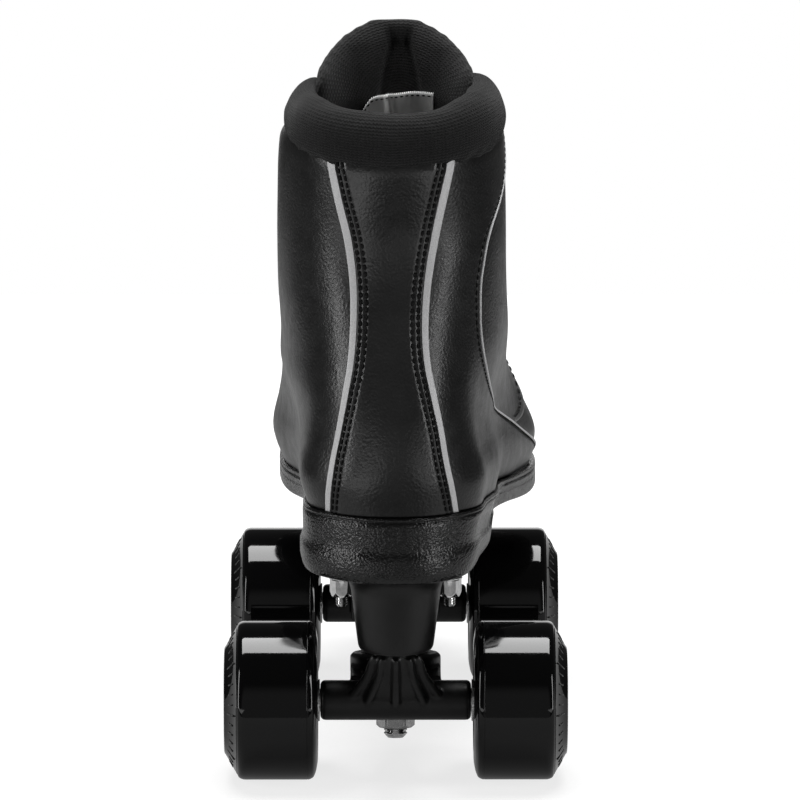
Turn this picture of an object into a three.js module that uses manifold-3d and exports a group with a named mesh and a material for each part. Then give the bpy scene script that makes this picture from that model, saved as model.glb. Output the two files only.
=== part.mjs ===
// Quad roller skate for the right foot: a padded lace-up boot on a moulded sole, a plastic chassis,
// two tilting trucks and four wheels on ball bearings.
// Millimetres. +Y points to the toe, +X to the wearer's right (the outer, lateral side), +Z up.
// The origin is on the ground, under the middle of the skate's length, midway between the wheels.
import * as THREE from "three";
import { mergeVertices } from "three/addons/utils/BufferGeometryUtils.js";
import Module from "manifold-3d";

const wasm = await Module();
wasm.setup();

// ---- Driving dimensions ----
const GAP = 0.3; // clearance between pieces that touch
const SOLE_LENGTH = 260;
const HEEL_BACK_Y = -SOLE_LENGTH / 2;
const WHEELBASE = 150;
const REAR_AXLE_Y = HEEL_BACK_Y + 38;
const FRONT_AXLE_Y = REAR_AXLE_Y + WHEELBASE;

const WHEEL_RADIUS = 27;
const WHEEL_WIDTH = 32;
const WHEEL_INNER_X = 26.25; // inner face of each wheel, from the middle plane
const WHEEL_SIDES = 32;
const HUB_RADIUS = 17;
const BEARING_RADIUS = 11;
const BEARING_WIDTH = 7;
const BEARING_INNER_X = 27.6; // inboard face of the inner bearing
const BEARING_OUTER_X = 45.5; // inboard face of the outer bearing
const AXLE_RADIUS = 4;
const AXLE_HALF_LENGTH = 57.8;
const AXLE_NUT_HEIGHT = 4.6;
const NUT_13_RADIUS = 13 / Math.sqrt(3); // corner radius of a nut 13 mm across its flats
const NUT_7_RADIUS = 7 / Math.sqrt(3);

const PLATE_TOP_Z = 75;
const PLATE_THICKNESS = 5;
const PLATE_BOTTOM_Z = PLATE_TOP_Z - PLATE_THICKNESS;
const SOLE_BOTTOM_Z = PLATE_TOP_Z + GAP;

// Truck, measured from the middle of its axle with the pivot on the -Y side.
const TUBE_RADIUS = 6.8;
const TUBE_HALF_LENGTH = 25.6;
const YOKE_CENTRE = new THREE.Vector3(0, 25, 7);
const YOKE_RADIUS = 15.5;
const YOKE_HALF_HEIGHT = 4;
const YOKE_BORE = 7.5; // wide enough for the yoke to tilt round the kingpin
const PIVOT_TIP = new THREE.Vector3(0, -14, 25);
const KINGPIN_TILT = THREE.MathUtils.degToRad(8);
const KINGPIN_RADIUS = 4;
const KINGPIN_FOOT = -25.5; // distances along the kingpin from the yoke's centre
const KINGPIN_HEAD = 32;
const CUSHION_SEAT = 18.3;
const CUSHION_RADIUS = 11.8;
const TOWER_BOTTOM_Z = 48;
const PIVOT_CUP_RADIUS = 9;
const PIVOT_CUP_DEPTH = 12;
const PIVOT_PIN_RADIUS = 5.2;

const MOUNT_BOLT_X = 18.3;
const MOUNT_BOLT_FROM_AXLE = 2; // inboard of each axle
const MOUNT_BOLT_RADIUS = 2;
const MOUNT_BOLT_BOTTOM_Z = 60.3;
const MOUNT_NUT_BOTTOM_Z = 64.8;
const TOE_STOP_Y = 108;
const TOE_STOP_BOTTOM_Z = 30;

const LEATHER_THICKNESS = 3;
const LACE_RADIUS = 1.6;
const EYELET_PAIRS = 7;

// ---- Materials ----
function material(colour, roughness, metalness = 0) {
  return new THREE.MeshStandardMaterial({ color: colour, roughness, metalness });
}

const LEATHER = material(0x141414, 0.42);
const KNIT = material(0x161617, 0.95);
const REFLECTIVE = material(0xa9a9a9, 0.6);
const SOLE_RUBBER = material(0x121213, 0.55);
const INSOLE_FOAM = material(0x1b1b1c, 0.9);
const NYLON = material(0x151516, 0.48);
const URETHANE = material(0x050506, 0.08);
const HUB_NYLON = material(0x0c0c0d, 0.35);
const STEEL = material(0xb4b6b8, 0.28, 1);
const CUSHION = material(0x1a1a1b, 0.5);
const LACE = material(0x111112, 0.85);

// ---- Solids ----
function solidOf(geometry) {
  const bare = new THREE.BufferGeometry();
  bare.setAttribute("position", geometry.getAttribute("position"));
  if (geometry.index) bare.setIndex(geometry.index);
  const merged = mergeVertices(bare, 1e-3);
  const triVerts = new Uint32Array(merged.index.array);
  const vertProperties = merged.attributes.position.array;
  const made = new wasm.Manifold(new wasm.Mesh({ numProp: 3, vertProperties, triVerts }));
  if (made.volume() > 0) return made;
  for (let i = 0; i < triVerts.length; i += 3) {
    [triVerts[i], triVerts[i + 1]] = [triVerts[i + 1], triVerts[i]];
  }
  return new wasm.Manifold(new wasm.Mesh({ numProp: 3, vertProperties, triVerts }));
}

function geometryOf(solid) {
  const mesh = solid.getMesh();
  const points = new Float32Array(mesh.numVert * 3);
  for (let i = 0; i < mesh.numVert; i++) {
    points.set(mesh.vertProperties.subarray(i * mesh.numProp, i * mesh.numProp + 3), i * 3);
  }
  const geometry = new THREE.BufferGeometry();
  geometry.setAttribute("position", new THREE.BufferAttribute(points, 3));
  geometry.setIndex(new THREE.BufferAttribute(mesh.triVerts, 1));
  geometry.computeVertexNormals();
  return geometry;
}

function piece(name, shape, surface) {
  const solid = shape.isBufferGeometry ? solidOf(shape) : shape;
  const mesh = new THREE.Mesh(geometryOf(solid), surface);
  mesh.name = name;
  return mesh;
}

// A solid of revolution about +Z from [radius, height] pairs.
function turned(profile, sides) {
  const points = profile.map(([radius, height]) => new THREE.Vector2(radius, height));
  return new THREE.LatheGeometry(points, sides).rotateX(Math.PI / 2);
}

// The same about +X, turned so that a flat facet faces down.
function turnedAboutX(profile, sides) {
  return turned(profile, sides).rotateZ(Math.PI / sides).rotateY(Math.PI / 2);
}

// A ring with a round hole: [inner radius, outer radius] over [low, high] along +Z.
function ring(inner, outer, low, high, sides) {
  return turned([[inner, low], [outer, low], [outer, high], [inner, high], [inner, low]], sides);
}

function rod(radius, low, high, sides) {
  return turned([[0, low], [radius, low], [radius, high], [0, high]], sides);
}

// A closed skin over a list of closed loops of equal length, capped at both ends.
function loft(loops) {
  const count = loops[0].length;
  const points = loops.flat();
  const centres = [loops[0], loops[loops.length - 1]].map((loop) =>
    loop.reduce((sum, p) => sum.add(p), new THREE.Vector3()).divideScalar(count),
  );
  const index = [];
  for (let i = 0; i + 1 < loops.length; i++) {
    for (let j = 0; j < count; j++) {
      const a = i * count + j;
      const b = i * count + ((j + 1) % count);
      index.push(a, b, b + count, a, b + count, a + count);
    }
  }
  const first = points.length;
  const lastLoop = (loops.length - 1) * count;
  for (let j = 0; j < count; j++) {
    const k = (j + 1) % count;
    index.push(first, k, j, first + 1, lastLoop + j, lastLoop + k);
  }
  const geometry = new THREE.BufferGeometry().setFromPoints([...points, ...centres]);
  return geometry.setIndex(index);
}

// A closed sheet between two grids of points, outer[i][j] and inner[i][j].
function sheet(outer, inner) {
  const rows = outer.length;
  const columns = outer[0].length;
  const points = [...outer.flat(), ...inner.flat()];
  const at = (i, j, side) => side * rows * columns + i * columns + j;
  const index = [];
  const quad = (a, b, c, d) => index.push(a, b, c, a, c, d);
  for (let i = 0; i + 1 < rows; i++) {
    for (let j = 0; j + 1 < columns; j++) {
      quad(at(i, j, 0), at(i, j + 1, 0), at(i + 1, j + 1, 0), at(i + 1, j, 0));
      quad(at(i, j, 1), at(i + 1, j, 1), at(i + 1, j + 1, 1), at(i, j + 1, 1));
    }
    quad(at(i, 0, 0), at(i + 1, 0, 0), at(i + 1, 0, 1), at(i, 0, 1));
    quad(at(i + 1, columns - 1, 0), at(i, columns - 1, 0), at(i, columns - 1, 1), at(i + 1, columns - 1, 1));
  }
  for (let j = 0; j + 1 < columns; j++) {
    quad(at(0, j + 1, 0), at(0, j, 0), at(0, j, 1), at(0, j + 1, 1));
    quad(at(rows - 1, j, 0), at(rows - 1, j + 1, 0), at(rows - 1, j + 1, 1), at(rows - 1, j, 1));
  }
  return new THREE.BufferGeometry().setFromPoints(points).setIndex(index);
}

// A tube along a smooth curve through the points.
function tube(points, radius, steps, sides) {
  const section = new THREE.Shape().absarc(0, 0, radius, 0, 2 * Math.PI);
  const extrudePath = new THREE.CatmullRomCurve3(points, false, "centripetal");
  return new THREE.ExtrudeGeometry(section, { steps, extrudePath, curveSegments: sides });
}

// A smooth curve through evenly spaced values, read at t from 0 to 1.
function along(values, t) {
  const place = THREE.MathUtils.clamp(t, 0, 1) * (values.length - 1);
  const i = Math.min(Math.floor(place), values.length - 2);
  const f = place - i;
  const before = values[Math.max(i - 1, 0)];
  const after = values[Math.min(i + 2, values.length - 1)];
  const start = (values[i + 1] - before) / 2;
  const end = (after - values[i]) / 2;
  const rise = values[i + 1] - values[i];
  return values[i] + f * (start + f * (3 * rise - 2 * start - end + f * (start + end - 2 * rise)));
}

const mix = THREE.MathUtils.lerp;

// ---- Sole outline and heights, by distance s from the back of the heel ----
// Breadths at every 15 degrees of a half turn from the back of the heel to the tip of the toe, where
// s = SOLE_LENGTH (1 - cos turn) / 2. A power of the turn's sine multiplies each, so both ends are blunt.
const OUTER_BREADTH = [45, 46, 47.4, 41, 39.5, 37, 43, 50.9, 53.9, 54, 52, 50, 50];
const INNER_BREADTH = [45, 46.6, 48.8, 41.5, 34, 31, 32.5, 40.5, 45.6, 49, 50, 49, 50];
const BLUNTNESS = 0.8;
const HEEL_TOP_Z = 98;
const TREAD_TOP_Z = 82.4;
const ARCH_BOTTOM_Z = 81;

function soleBreadth(isOuter, turn) {
  const breadths = isOuter ? OUTER_BREADTH : INNER_BREADTH;
  return along(breadths, turn / Math.PI) * Math.pow(Math.sin(turn), BLUNTNESS);
}

// Height of the sole's top edge: level under the heel, down the arch, level under the ball, up at the toe.
function soleTop(s) {
  const drop = THREE.MathUtils.smoothstep(s, 5, 185);
  const spring = Math.max(0, s - 200) / 60;
  return mix(HEEL_TOP_Z, TREAD_TOP_Z, drop) + 4 * spring * spring;
}

// Height of the sole's underside: flat on the plate under heel and ball, with a raised arch between.
function soleUnderside(s) {
  const breast = THREE.MathUtils.smoothstep(s, 57, 62);
  const ball = THREE.MathUtils.smoothstep(s, 95, 135);
  const spring = Math.max(0, s - 222) / 38;
  return mix(SOLE_BOTTOM_Z, ARCH_BOTTOM_Z, breast - ball) + 3.5 * spring * spring;
}

// ---- Boot surface ----
// The upper is a stack of closed rings, from the sole's edge to the foot of the collar.
const RINGS = [
  // back z, front z, back s, front s, outer half, inner half, outer scale, inner scale, foot share, dip
  [98.3, 86.9, 1.5, 258, 38, 38, 0.955, 0.96, 1, 1],
  [108, 99, 0.4, 258.5, 38, 38, 1.01, 1.06, 1, 1],
  [118, 111, 0.6, 250, 38.5, 38.5, 0.965, 1.04, 0.78, 0.8],
  [128, 121.5, 1.8, 229, 39, 39.6, 0.91, 1.0, 0.5, 0.55],
  [138, 131, 4, 200, 39.5, 40.2, 0.86, 0.96, 0.25, 0.3],
  [150, 144, 7, 169, 39.8, 39.2, 0.85, 0.86, 0.08, 0.1],
  [163, 159, 9.5, 147, 39.5, 39, 0.8, 0.8, 0, 0],
  [177, 177, 11.5, 131, 39.4, 39, 0.8, 0.8, 0, 0],
  [191, 193, 12, 119, 39, 39, 0.8, 0.8, 0, 0],
  [204, 207, 10.5, 111, 38.7, 38.4, 0.8, 0.8, 0, 0],
  [217, 220, 8.5, 107, 38, 37, 0.8, 0.8, 0, 0],
];
const [BACK_Z, FRONT_Z, BACK_S, FRONT_S, OUTER_HALF, INNER_HALF, OUTER_SCALE, INNER_SCALE, FOOT_SHARE, DIP] =
  RINGS[0].map((_, column) => RINGS.map((row) => row[column]));
const BOOT_CENTRE_X = -1.2;

// A point of the boot's surface. turn runs from 0 at the back through the outer side to pi at the front
// and on to 2 pi, and level from 0 at the sole to 1 at the foot of the collar.
function bootSurface(turn, level) {
  const isOuter = Math.sin(turn) >= 0;
  const half = Math.abs(turn > Math.PI ? 2 * Math.PI - turn : turn);
  const forward = (1 - Math.cos(half)) / 2;
  const share = along(FOOT_SHARE, level);
  const foot = soleBreadth(isOuter, half) * along(isOuter ? OUTER_SCALE : INNER_SCALE, level);
  const shaft = along(isOuter ? OUTER_HALF : INNER_HALF, level) * Math.pow(Math.sin(half), BLUNTNESS);
  const breadth = mix(shaft, foot, share);
  const s = mix(along(BACK_S, level), along(FRONT_S, level), forward);
  const straight = mix(HEEL_TOP_Z, soleTop(SOLE_LENGTH), s / SOLE_LENGTH);
  const rise = Math.sin(half) * 3 * THREE.MathUtils.smoothstep(level, 0.75, 1);
  const z = mix(along(BACK_Z, level), along(FRONT_Z, level), forward) + rise +
    along(DIP, level) * (soleTop(s) - straight);
  const centre = BOOT_CENTRE_X * (1 - share);
  return new THREE.Vector3(centre + (isOuter ? breadth : -breadth), HEEL_BACK_Y + s, z);
}

// The surface moved inwards, square to itself.
function bootPoint(turn, level, depth = 0) {
  const step = 0.02;
  const across = bootSurface(turn + step, level).sub(bootSurface(turn - step, level));
  const low = Math.max(level - step, 0);
  const high = Math.min(level + step, 1);
  const upward = bootSurface(turn, high).sub(bootSurface(turn, low));
  const inward = upward.cross(across).normalize();
  return bootSurface(turn, level).addScaledVector(inward, depth);
}

// A leather panel between two edges, each a turn that depends on the level.
function panel(leftEdge, rightEdge, low, high, columns, rows) {
  const depth = 0.2;
  const grid = (inset) => Array.from({ length: rows + 1 }, (_, i) => {
    const level = mix(low, high, i / rows);
    return Array.from({ length: columns + 1 }, (_, j) =>
      bootPoint(mix(leftEdge(level), rightEdge(level), j / columns), level, inset));
  });
  return sheet(grid(depth), grid(depth + LEATHER_THICKNESS));
}

// Edges of the panels, as turns at evenly spaced levels.
const THROAT_LEVEL = 0.42; // where the vamp ends and the lacing starts
const SEAM_TURN = 0.012; // half of the gap between two panels
const BACKSTAY_OUTER_EDGE = [0.37, 0.315, 0.3, 0.29, 0.26, 0.215, 0.205, 0.23, 0.29, 0.365, 0.46];
const BACKSTAY_INNER_EDGE = [0.415, 0.365, 0.36, 0.34, 0.305, 0.27, 0.255, 0.265, 0.31, 0.405, 0.51];
const OUTER_SEAM_EDGE = [2, 1.72, 1.44, 1.126, 0.95, 0.82, 0.776, 0.785, 0.955, 1.5, 1.9];
const INNER_SEAM_EDGE = [2.3, 2.25, 2.2, 2.12, 2.03, 1.96, 1.94, 1.98, 2.08, 2.24, 2.38];
const THROAT_EDGE = 2.8;

function upperPanels() {
  const gap = 0.004; // half of the gap between the vamp and the facings, in levels
  const round = 2 * Math.PI;
  const outerBack = (turn) => (level) => along(BACKSTAY_OUTER_EDGE, level) + turn;
  const innerBack = (turn) => (level) => round - along(BACKSTAY_INNER_EDGE, level) + turn;
  const outerSeam = (turn) => (level) => along(OUTER_SEAM_EDGE, level) + turn;
  const innerSeam = (turn) => (level) => round - along(INNER_SEAM_EDGE, level) + turn;
  const throat = (turn) => () => turn;
  const g = SEAM_TURN;
  const foot = THROAT_LEVEL + gap;
  const outerFacing = panel(outerSeam(g), throat(THROAT_EDGE), foot, 1, 6, 10);
  const innerFacing = panel(throat(round - THROAT_EDGE), innerSeam(-g), foot, 1, 6, 10);
  return [
    piece("backstay", panel(innerBack(g - round), outerBack(-g), 0, 1, 6, 12), LEATHER),
    piece("vamp", panel(outerSeam(g), innerSeam(-g), 0, THROAT_LEVEL - gap, 24, 7), LEATHER),
    piece("quarter_lateral", panel(outerBack(g), outerSeam(-g), 0, 1, 6, 16), LEATHER),
    piece("quarter_medial", panel(innerSeam(g), innerBack(-g), 0, 1, 8, 14), LEATHER),
    piece("facing_lateral", solidOf(outerFacing).subtract(laceSpace()), LEATHER),
    piece("facing_medial", solidOf(innerFacing).subtract(laceSpace()), LEATHER),
  ];
}

// ---- Sole ----
function mountingBoltPlaces() {
  const rear = REAR_AXLE_Y + MOUNT_BOLT_FROM_AXLE;
  const front = FRONT_AXLE_Y - MOUNT_BOLT_FROM_AXLE;
  return [
    { name: "rear_right", x: MOUNT_BOLT_X, y: rear },
    { name: "rear_left", x: -MOUNT_BOLT_X, y: rear },
    { name: "front_right", x: MOUNT_BOLT_X, y: front },
    { name: "front_left", x: -MOUNT_BOLT_X, y: front },
  ];
}

// Rows of points across the sole from one half turn to another, at a height that depends on s.
function soleGrid(height, from, to, share, margin) {
  const rows = 24;
  const columns = 2;
  return Array.from({ length: rows + 1 }, (_, i) => {
    const turn = mix(from, to, i / rows);
    const s = (SOLE_LENGTH * (1 - Math.cos(turn))) / 2;
    const left = -soleBreadth(false, turn) * share + margin;
    const right = soleBreadth(true, turn) * share - margin;
    return Array.from({ length: columns + 1 }, (_, j) =>
      new THREE.Vector3(mix(left, right, j / columns), HEEL_BACK_Y + s, height(s)));
  });
}

function outsole() {
  const end = 0.1;
  const face = (height) => soleGrid(height, end, Math.PI - end, 1, 0);
  const body = sheet(face(soleTop), face(soleUnderside));
  const headSeat = 3.2;
  return mountingBoltPlaces().reduce((solid, { x, y }) => {
    const top = soleTop(y - HEEL_BACK_Y);
    const bore = rod(MOUNT_BOLT_RADIUS + GAP, PLATE_BOTTOM_Z, top, 12).translate(x, y, 0);
    const recess = rod(MOUNT_BOLT_RADIUS * 2 + GAP, top - headSeat, top + headSeat, 12).translate(x, y, 0);
    return solid.subtract(solidOf(bore)).subtract(solidOf(recess));
  }, solidOf(body));
}

// The insole lies inside the upper, narrower than the sole by a share and a margin.
function insole() {
  const thickness = 3;
  const layer = (height) => soleGrid((s) => soleTop(s) + height, 0.52, Math.PI - 0.5, 0.87, 3.6);
  return sheet(layer(thickness), layer(GAP));
}

// ---- Collar and tongue ----
const COLLAR_END = 2.42; // turn of the roll's front ends

// A padded roll on the upper's top edge, from one side of the throat round the heel to the other.
function collar() {
  const stations = 36;
  const around = 12;
  const squarish = 0.75;
  const flat = (value) => Math.sign(value) * Math.pow(Math.abs(value), squarish);
  const loops = Array.from({ length: stations + 1 }, (_, i) => {
    const turn = mix(-COLLAR_END, COLLAR_END, i / stations);
    const front = THREE.MathUtils.smoothstep(Math.abs(turn), 1.1, COLLAR_END);
    const halfHeight = mix(9.2, 6.8, front);
    const halfThickness = mix(6.2, 3.1, front);
    const taper = mix(0.08, 0.6, front);
    const wrapped = turn < 0 ? turn + 2 * Math.PI : turn;
    const outer = bootPoint(wrapped, 1, -0.6);
    const inward = bootPoint(wrapped, 1, 1).sub(bootPoint(wrapped, 1)).setZ(0).normalize();
    const centre = outer.addScaledVector(inward, halfThickness);
    centre.z += halfHeight + 2 * GAP;
    return Array.from({ length: around }, (_, j) => {
      const a = (2 * Math.PI * j) / around;
      const narrowing = (taper * (1 + flat(Math.sin(a)))) / 2;
      return centre.clone()
        .addScaledVector(inward, halfThickness * (narrowing - (1 - narrowing) * flat(Math.cos(a))))
        .add(new THREE.Vector3(0, 0, halfHeight * flat(Math.sin(a))));
    });
  });
  return loft(loops);
}

const TONGUE_HALF_TURN = 0.97;
const TONGUE_SHIFT = 0.7; // to the outer side, at the tongue's top
const TONGUE_FROM = 0.36;
const TONGUE_OVER = 34; // how far the tongue stands above the upper's top edge, for each level above 1
const TONGUE_TOP = 1.97;
const TONGUE_THICKNESS = 6.2;

function tonguePoint(across, level, inset) {
  const over = Math.max(0, level - 1);
  const narrowing = Math.sqrt(Math.max(0.03, 1 - Math.pow(over, 1.7)));
  const turn = Math.PI + across * TONGUE_HALF_TURN * narrowing;
  const crown = 1 - THREE.MathUtils.smoothstep(Math.abs(across), 0, 0.3);
  const depth = mix(7.9, 6, crown);
  const point = bootPoint(turn, Math.min(level, 1), depth + inset);
  point.x += TONGUE_SHIFT * THREE.MathUtils.smoothstep(level, 0.6, 1);
  return point.add(new THREE.Vector3(0, 0.12, 1).multiplyScalar(over * TONGUE_OVER));
}

function tongue() {
  const rows = 16;
  const columns = 12;
  const grid = (inset) => Array.from({ length: rows + 1 }, (_, i) => {
    const level = mix(TONGUE_FROM, TONGUE_TOP, i / rows);
    const thin = THREE.MathUtils.smoothstep(level, TONGUE_FROM, TONGUE_FROM + 0.12);
    return Array.from({ length: columns + 1 }, (_, j) =>
      tonguePoint((2 * j) / columns - 1, level, inset * mix(0.4, 1, thin)));
  });
  return sheet(grid(0), grid(TONGUE_THICKNESS));
}

// ---- Lace ----
const EYELET_TURN = 0.5; // from the middle of the throat
const EYELET_FIRST = 0.47;
const EYELET_LAST = 0.93;

function eyeletLevel(i) {
  return mix(EYELET_FIRST, EYELET_LAST, i / (EYELET_PAIRS - 1));
}

// One half of the lace, from the bottom bar up. side is +1 or -1, crossing the depth at each crossing.
function laceHalf(side, crossing) {
  const points = [];
  const at = (turn, level, depth) => points.push(bootPoint(Math.PI + turn, level, depth));
  for (let i = 0; i < EYELET_PAIRS; i++) {
    const here = i % 2 === 0 ? side : -side;
    const level = eyeletLevel(i);
    at(here * 0.34, level, -2.1);
    at(here * 0.45, level, -1.9);
    at(here * EYELET_TURN, level, 1.6);
    at(here * 0.45, level, 5.1);
    if (i === EYELET_PAIRS - 1) continue;
    at(here * 0.32, mix(level, eyeletLevel(i + 1), 0.22), 5.2);
    at(0, mix(level, eyeletLevel(i + 1), 0.5), crossing);
  }
  return points;
}

function lace(radius = LACE_RADIUS) {
  const right = laceHalf(-1, -1.6);
  const left = laceHalf(1, 2.7);
  return tube([...right.reverse(), ...left], radius, 190, 3);
}

// The room that the lace needs where it passes through the eyelets.
function laceSpace() {
  return solidOf(lace(LACE_RADIUS + GAP));
}

// ---- Chassis ----
const TOE_STOP_BOLT_RADIUS = 5;
const TOE_STOP_HEIGHT = 27;
const TOE_STOP_SEAT = 9; // height of the bolt's end above the stop's lower face

// The plate's edge, as [half breadth, y] from the heel to the toe.
function plateOutline() {
  const edge = [[7, -101], [14, -100], [20, -97], [24, -90], [24.5, -80], [24.5, -72], [20, -58], [15, -42],
    [14, -10], [15, 18], [20, 34], [24.5, 44], [25.5, 68], [21, 84], [15, 96], [13, 118], [9, 123]];
  const right = edge.map(([x, y]) => new THREE.Vector2(x, y));
  const left = edge.map(([x, y]) => new THREE.Vector2(-x, y)).reverse();
  return new THREE.Shape([...right, ...left]);
}

// A solid placed in a truck's frame: rear trucks as drawn, front trucks turned half a turn.
function inTruck(geometry, axleY) {
  if (axleY > 0) geometry.rotateZ(Math.PI);
  return geometry.translate(0, axleY, WHEEL_RADIUS);
}

// A solid drawn along +Z from the yoke's centre, laid along the kingpin.
function onKingpin(geometry, axleY) {
  geometry.rotateX(-KINGPIN_TILT).translate(YOKE_CENTRE.x, YOKE_CENTRE.y, YOKE_CENTRE.z);
  return inTruck(geometry, axleY);
}

// The tower that holds the pivot cup, from its mouth up to its flare under the sole.
function pivotTower(axleY) {
  const mouth = TOWER_BOTTOM_Z - WHEEL_RADIUS;
  const top = PLATE_TOP_Z - WHEEL_RADIUS;
  const profile = [[0, mouth], [12, mouth], [12.8, mouth + 1], [15.2, top - 6], [15.7, top - 4],
    [16.6, top - 2.3], [18.2, top - 0.9], [20, top - 0.1], [20, top], [0, top]];
  return solidOf(inTruck(turned(profile, 28).translate(0, PIVOT_TIP.y, 0), axleY));
}

// The boss that the kingpin hangs from and the upper cushion presses against.
function kingpinBoss(axleY) {
  const top = KINGPIN_HEAD + 6.5;
  const profile = [[0, CUSHION_SEAT], [12.5, CUSHION_SEAT], [14.5, top - 5.5], [16, top], [0, top]];
  return solidOf(onKingpin(turned(profile, 24), axleY));
}

function plate() {
  const axles = [REAR_AXLE_Y, FRONT_AXLE_Y];
  const underPlate = PLATE_BOTTOM_Z - WHEEL_RADIUS;
  const mouth = TOWER_BOTTOM_Z - WHEEL_RADIUS;
  const slab = new THREE.ExtrudeGeometry(plateOutline(), { depth: PLATE_THICKNESS, bevelEnabled: false });
  const spine = new THREE.BoxGeometry(7, WHEELBASE, 6);
  const stopBoss = rod(12, 62, PLATE_TOP_Z - 1, 24);
  const stopBore = rod(TOE_STOP_BOLT_RADIUS + GAP, 55, PLATE_TOP_Z + 1, 20);
  let solid = solidOf(slab.translate(0, 0, PLATE_BOTTOM_Z))
    .add(solidOf(spine.translate(0, (REAR_AXLE_Y + FRONT_AXLE_Y) / 2, PLATE_BOTTOM_Z - 2)))
    .add(solidOf(stopBoss.translate(0, TOE_STOP_Y, 0)));
  for (const axleY of axles) {
    const rib = new THREE.BoxGeometry(6, 34, 12).translate(0, 8, underPlate - 5);
    solid = solid.add(pivotTower(axleY)).add(kingpinBoss(axleY)).add(solidOf(inTruck(rib, axleY)));
  }
  for (const axleY of axles) {
    const seat = rod(PIVOT_CUP_RADIUS + GAP, mouth - 1, mouth + PIVOT_CUP_DEPTH + GAP, 24);
    const bore = rod(KINGPIN_RADIUS + GAP, 0, KINGPIN_HEAD + GAP, 20);
    solid = solid.subtract(solidOf(inTruck(seat.translate(0, PIVOT_TIP.y, 0), axleY)));
    solid = solid.subtract(solidOf(onKingpin(bore, axleY)));
  }
  solid = solid.subtract(solidOf(stopBore.translate(0, TOE_STOP_Y, 0)));
  return mountingBoltPlaces().reduce((left, { x, y }) => {
    const bore = rod(MOUNT_BOLT_RADIUS + GAP, PLATE_BOTTOM_Z - 9, PLATE_TOP_Z + 1, 12);
    return left.subtract(solidOf(bore.translate(x, y, 0)));
  }, solid);
}

function nut(cornerRadius, bore, low, high) {
  const hexagon = solidOf(rod(cornerRadius, low, high, 6));
  return hexagon.subtract(solidOf(rod(bore, low - 1, high + 1, 16)));
}

function mountingBolt({ x, y }) {
  const top = soleTop(y - HEEL_BACK_Y) - 0.4;
  const underHead = top - 2.4;
  const head = MOUNT_BOLT_RADIUS * 2;
  const profile = [[0, MOUNT_BOLT_BOTTOM_Z], [MOUNT_BOLT_RADIUS, MOUNT_BOLT_BOTTOM_Z],
    [MOUNT_BOLT_RADIUS, underHead], [head, underHead], [head, top], [0, top]];
  return turned(profile, 12).translate(x, y, 0);
}

function mountingNut({ x, y }) {
  const bore = MOUNT_BOLT_RADIUS + GAP / 2;
  return nut(NUT_7_RADIUS, bore, MOUNT_NUT_BOTTOM_Z, PLATE_BOTTOM_Z - GAP).translate([x, y, 0]);
}

function toeStop() {
  const z = TOE_STOP_BOTTOM_Z;
  const bore = TOE_STOP_BOLT_RADIUS + GAP;
  const top = z + TOE_STOP_HEIGHT;
  const profile = [[0, z], [18.5, z], [21, z + 4], [20.5, z + 14], [18, z + 20], [11, z + 23], [10, top],
    [bore, top], [bore, z + TOE_STOP_SEAT], [0, z + TOE_STOP_SEAT]];
  return turned(profile, 24).translate(0, TOE_STOP_Y, 0);
}

function toeStopBolt() {
  const foot = TOE_STOP_BOTTOM_Z + TOE_STOP_SEAT + GAP;
  const flange = TOE_STOP_BOTTOM_Z + TOE_STOP_HEIGHT + GAP;
  const flangeRadius = 8.7;
  const flangeTop = 61.7;
  const shank = TOE_STOP_BOLT_RADIUS;
  const top = PLATE_TOP_Z - GAP;
  const profile = [[0, foot], [shank, foot], [shank, flange], [flangeRadius, flange],
    [flangeRadius, flangeTop], [shank, flangeTop], [shank, top], [0, top]];
  return turned(profile, 20).translate(0, TOE_STOP_Y, 0);
}

// ---- Trucks ----
// Sections of the arm between the pivot pin and the axle's tube, as [half width, half depth, y, z].
const ARM_SECTIONS = [[4.6, 4.6, -14, 24], [4.9, 4.9, -14, 20.5], [8.2, 6.4, -12.6, 17.6],
  [9.8, 6.8, -9.5, 12], [13.6, 6.4, -4.5, 5.5], [15.5, 4.5, -1, 0]];

function pivotArm() {
  const sides = 16;
  return loft(ARM_SECTIONS.map(([rx, ry, y, z]) => Array.from({ length: sides }, (_, k) => {
    const a = (-2 * Math.PI * k) / sides;
    return new THREE.Vector3(rx * Math.cos(a), y + ry * Math.sin(a), z);
  })));
}

function hanger(axleY) {
  const high = YOKE_HALF_HEIGHT;
  const edge = 1;
  const yokeProfile = [[0, -high], [YOKE_RADIUS - edge, -high], [YOKE_RADIUS, edge - high],
    [YOKE_RADIUS, high - edge], [YOKE_RADIUS - edge, high], [0, high]];
  const barrel = rod(TUBE_RADIUS, -TUBE_HALF_LENGTH, TUBE_HALF_LENGTH, 28).rotateY(Math.PI / 2);
  const pin = new THREE.SphereGeometry(PIVOT_PIN_RADIUS, 12, 7).rotateX(Math.PI / 2);
  const neck = new THREE.BoxGeometry(23, 11, 6.4).translate(0, 6.5, 3.6);
  const yokeBore = rod(YOKE_BORE, -2 * high, 2 * high, 24);
  const axleBore = rod(AXLE_RADIUS + GAP, -AXLE_HALF_LENGTH, AXLE_HALF_LENGTH, 20).rotateY(Math.PI / 2);
  const place = (geometry) => solidOf(inTruck(geometry, axleY));
  return place(barrel).add(place(pivotArm())).add(place(neck))
    .add(place(pin.translate(PIVOT_TIP.x, PIVOT_TIP.y, PIVOT_TIP.z)))
    .add(solidOf(onKingpin(turned(yokeProfile, 32), axleY)))
    .subtract(solidOf(onKingpin(yokeBore, axleY)))
    .subtract(place(axleBore));
}

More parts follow.
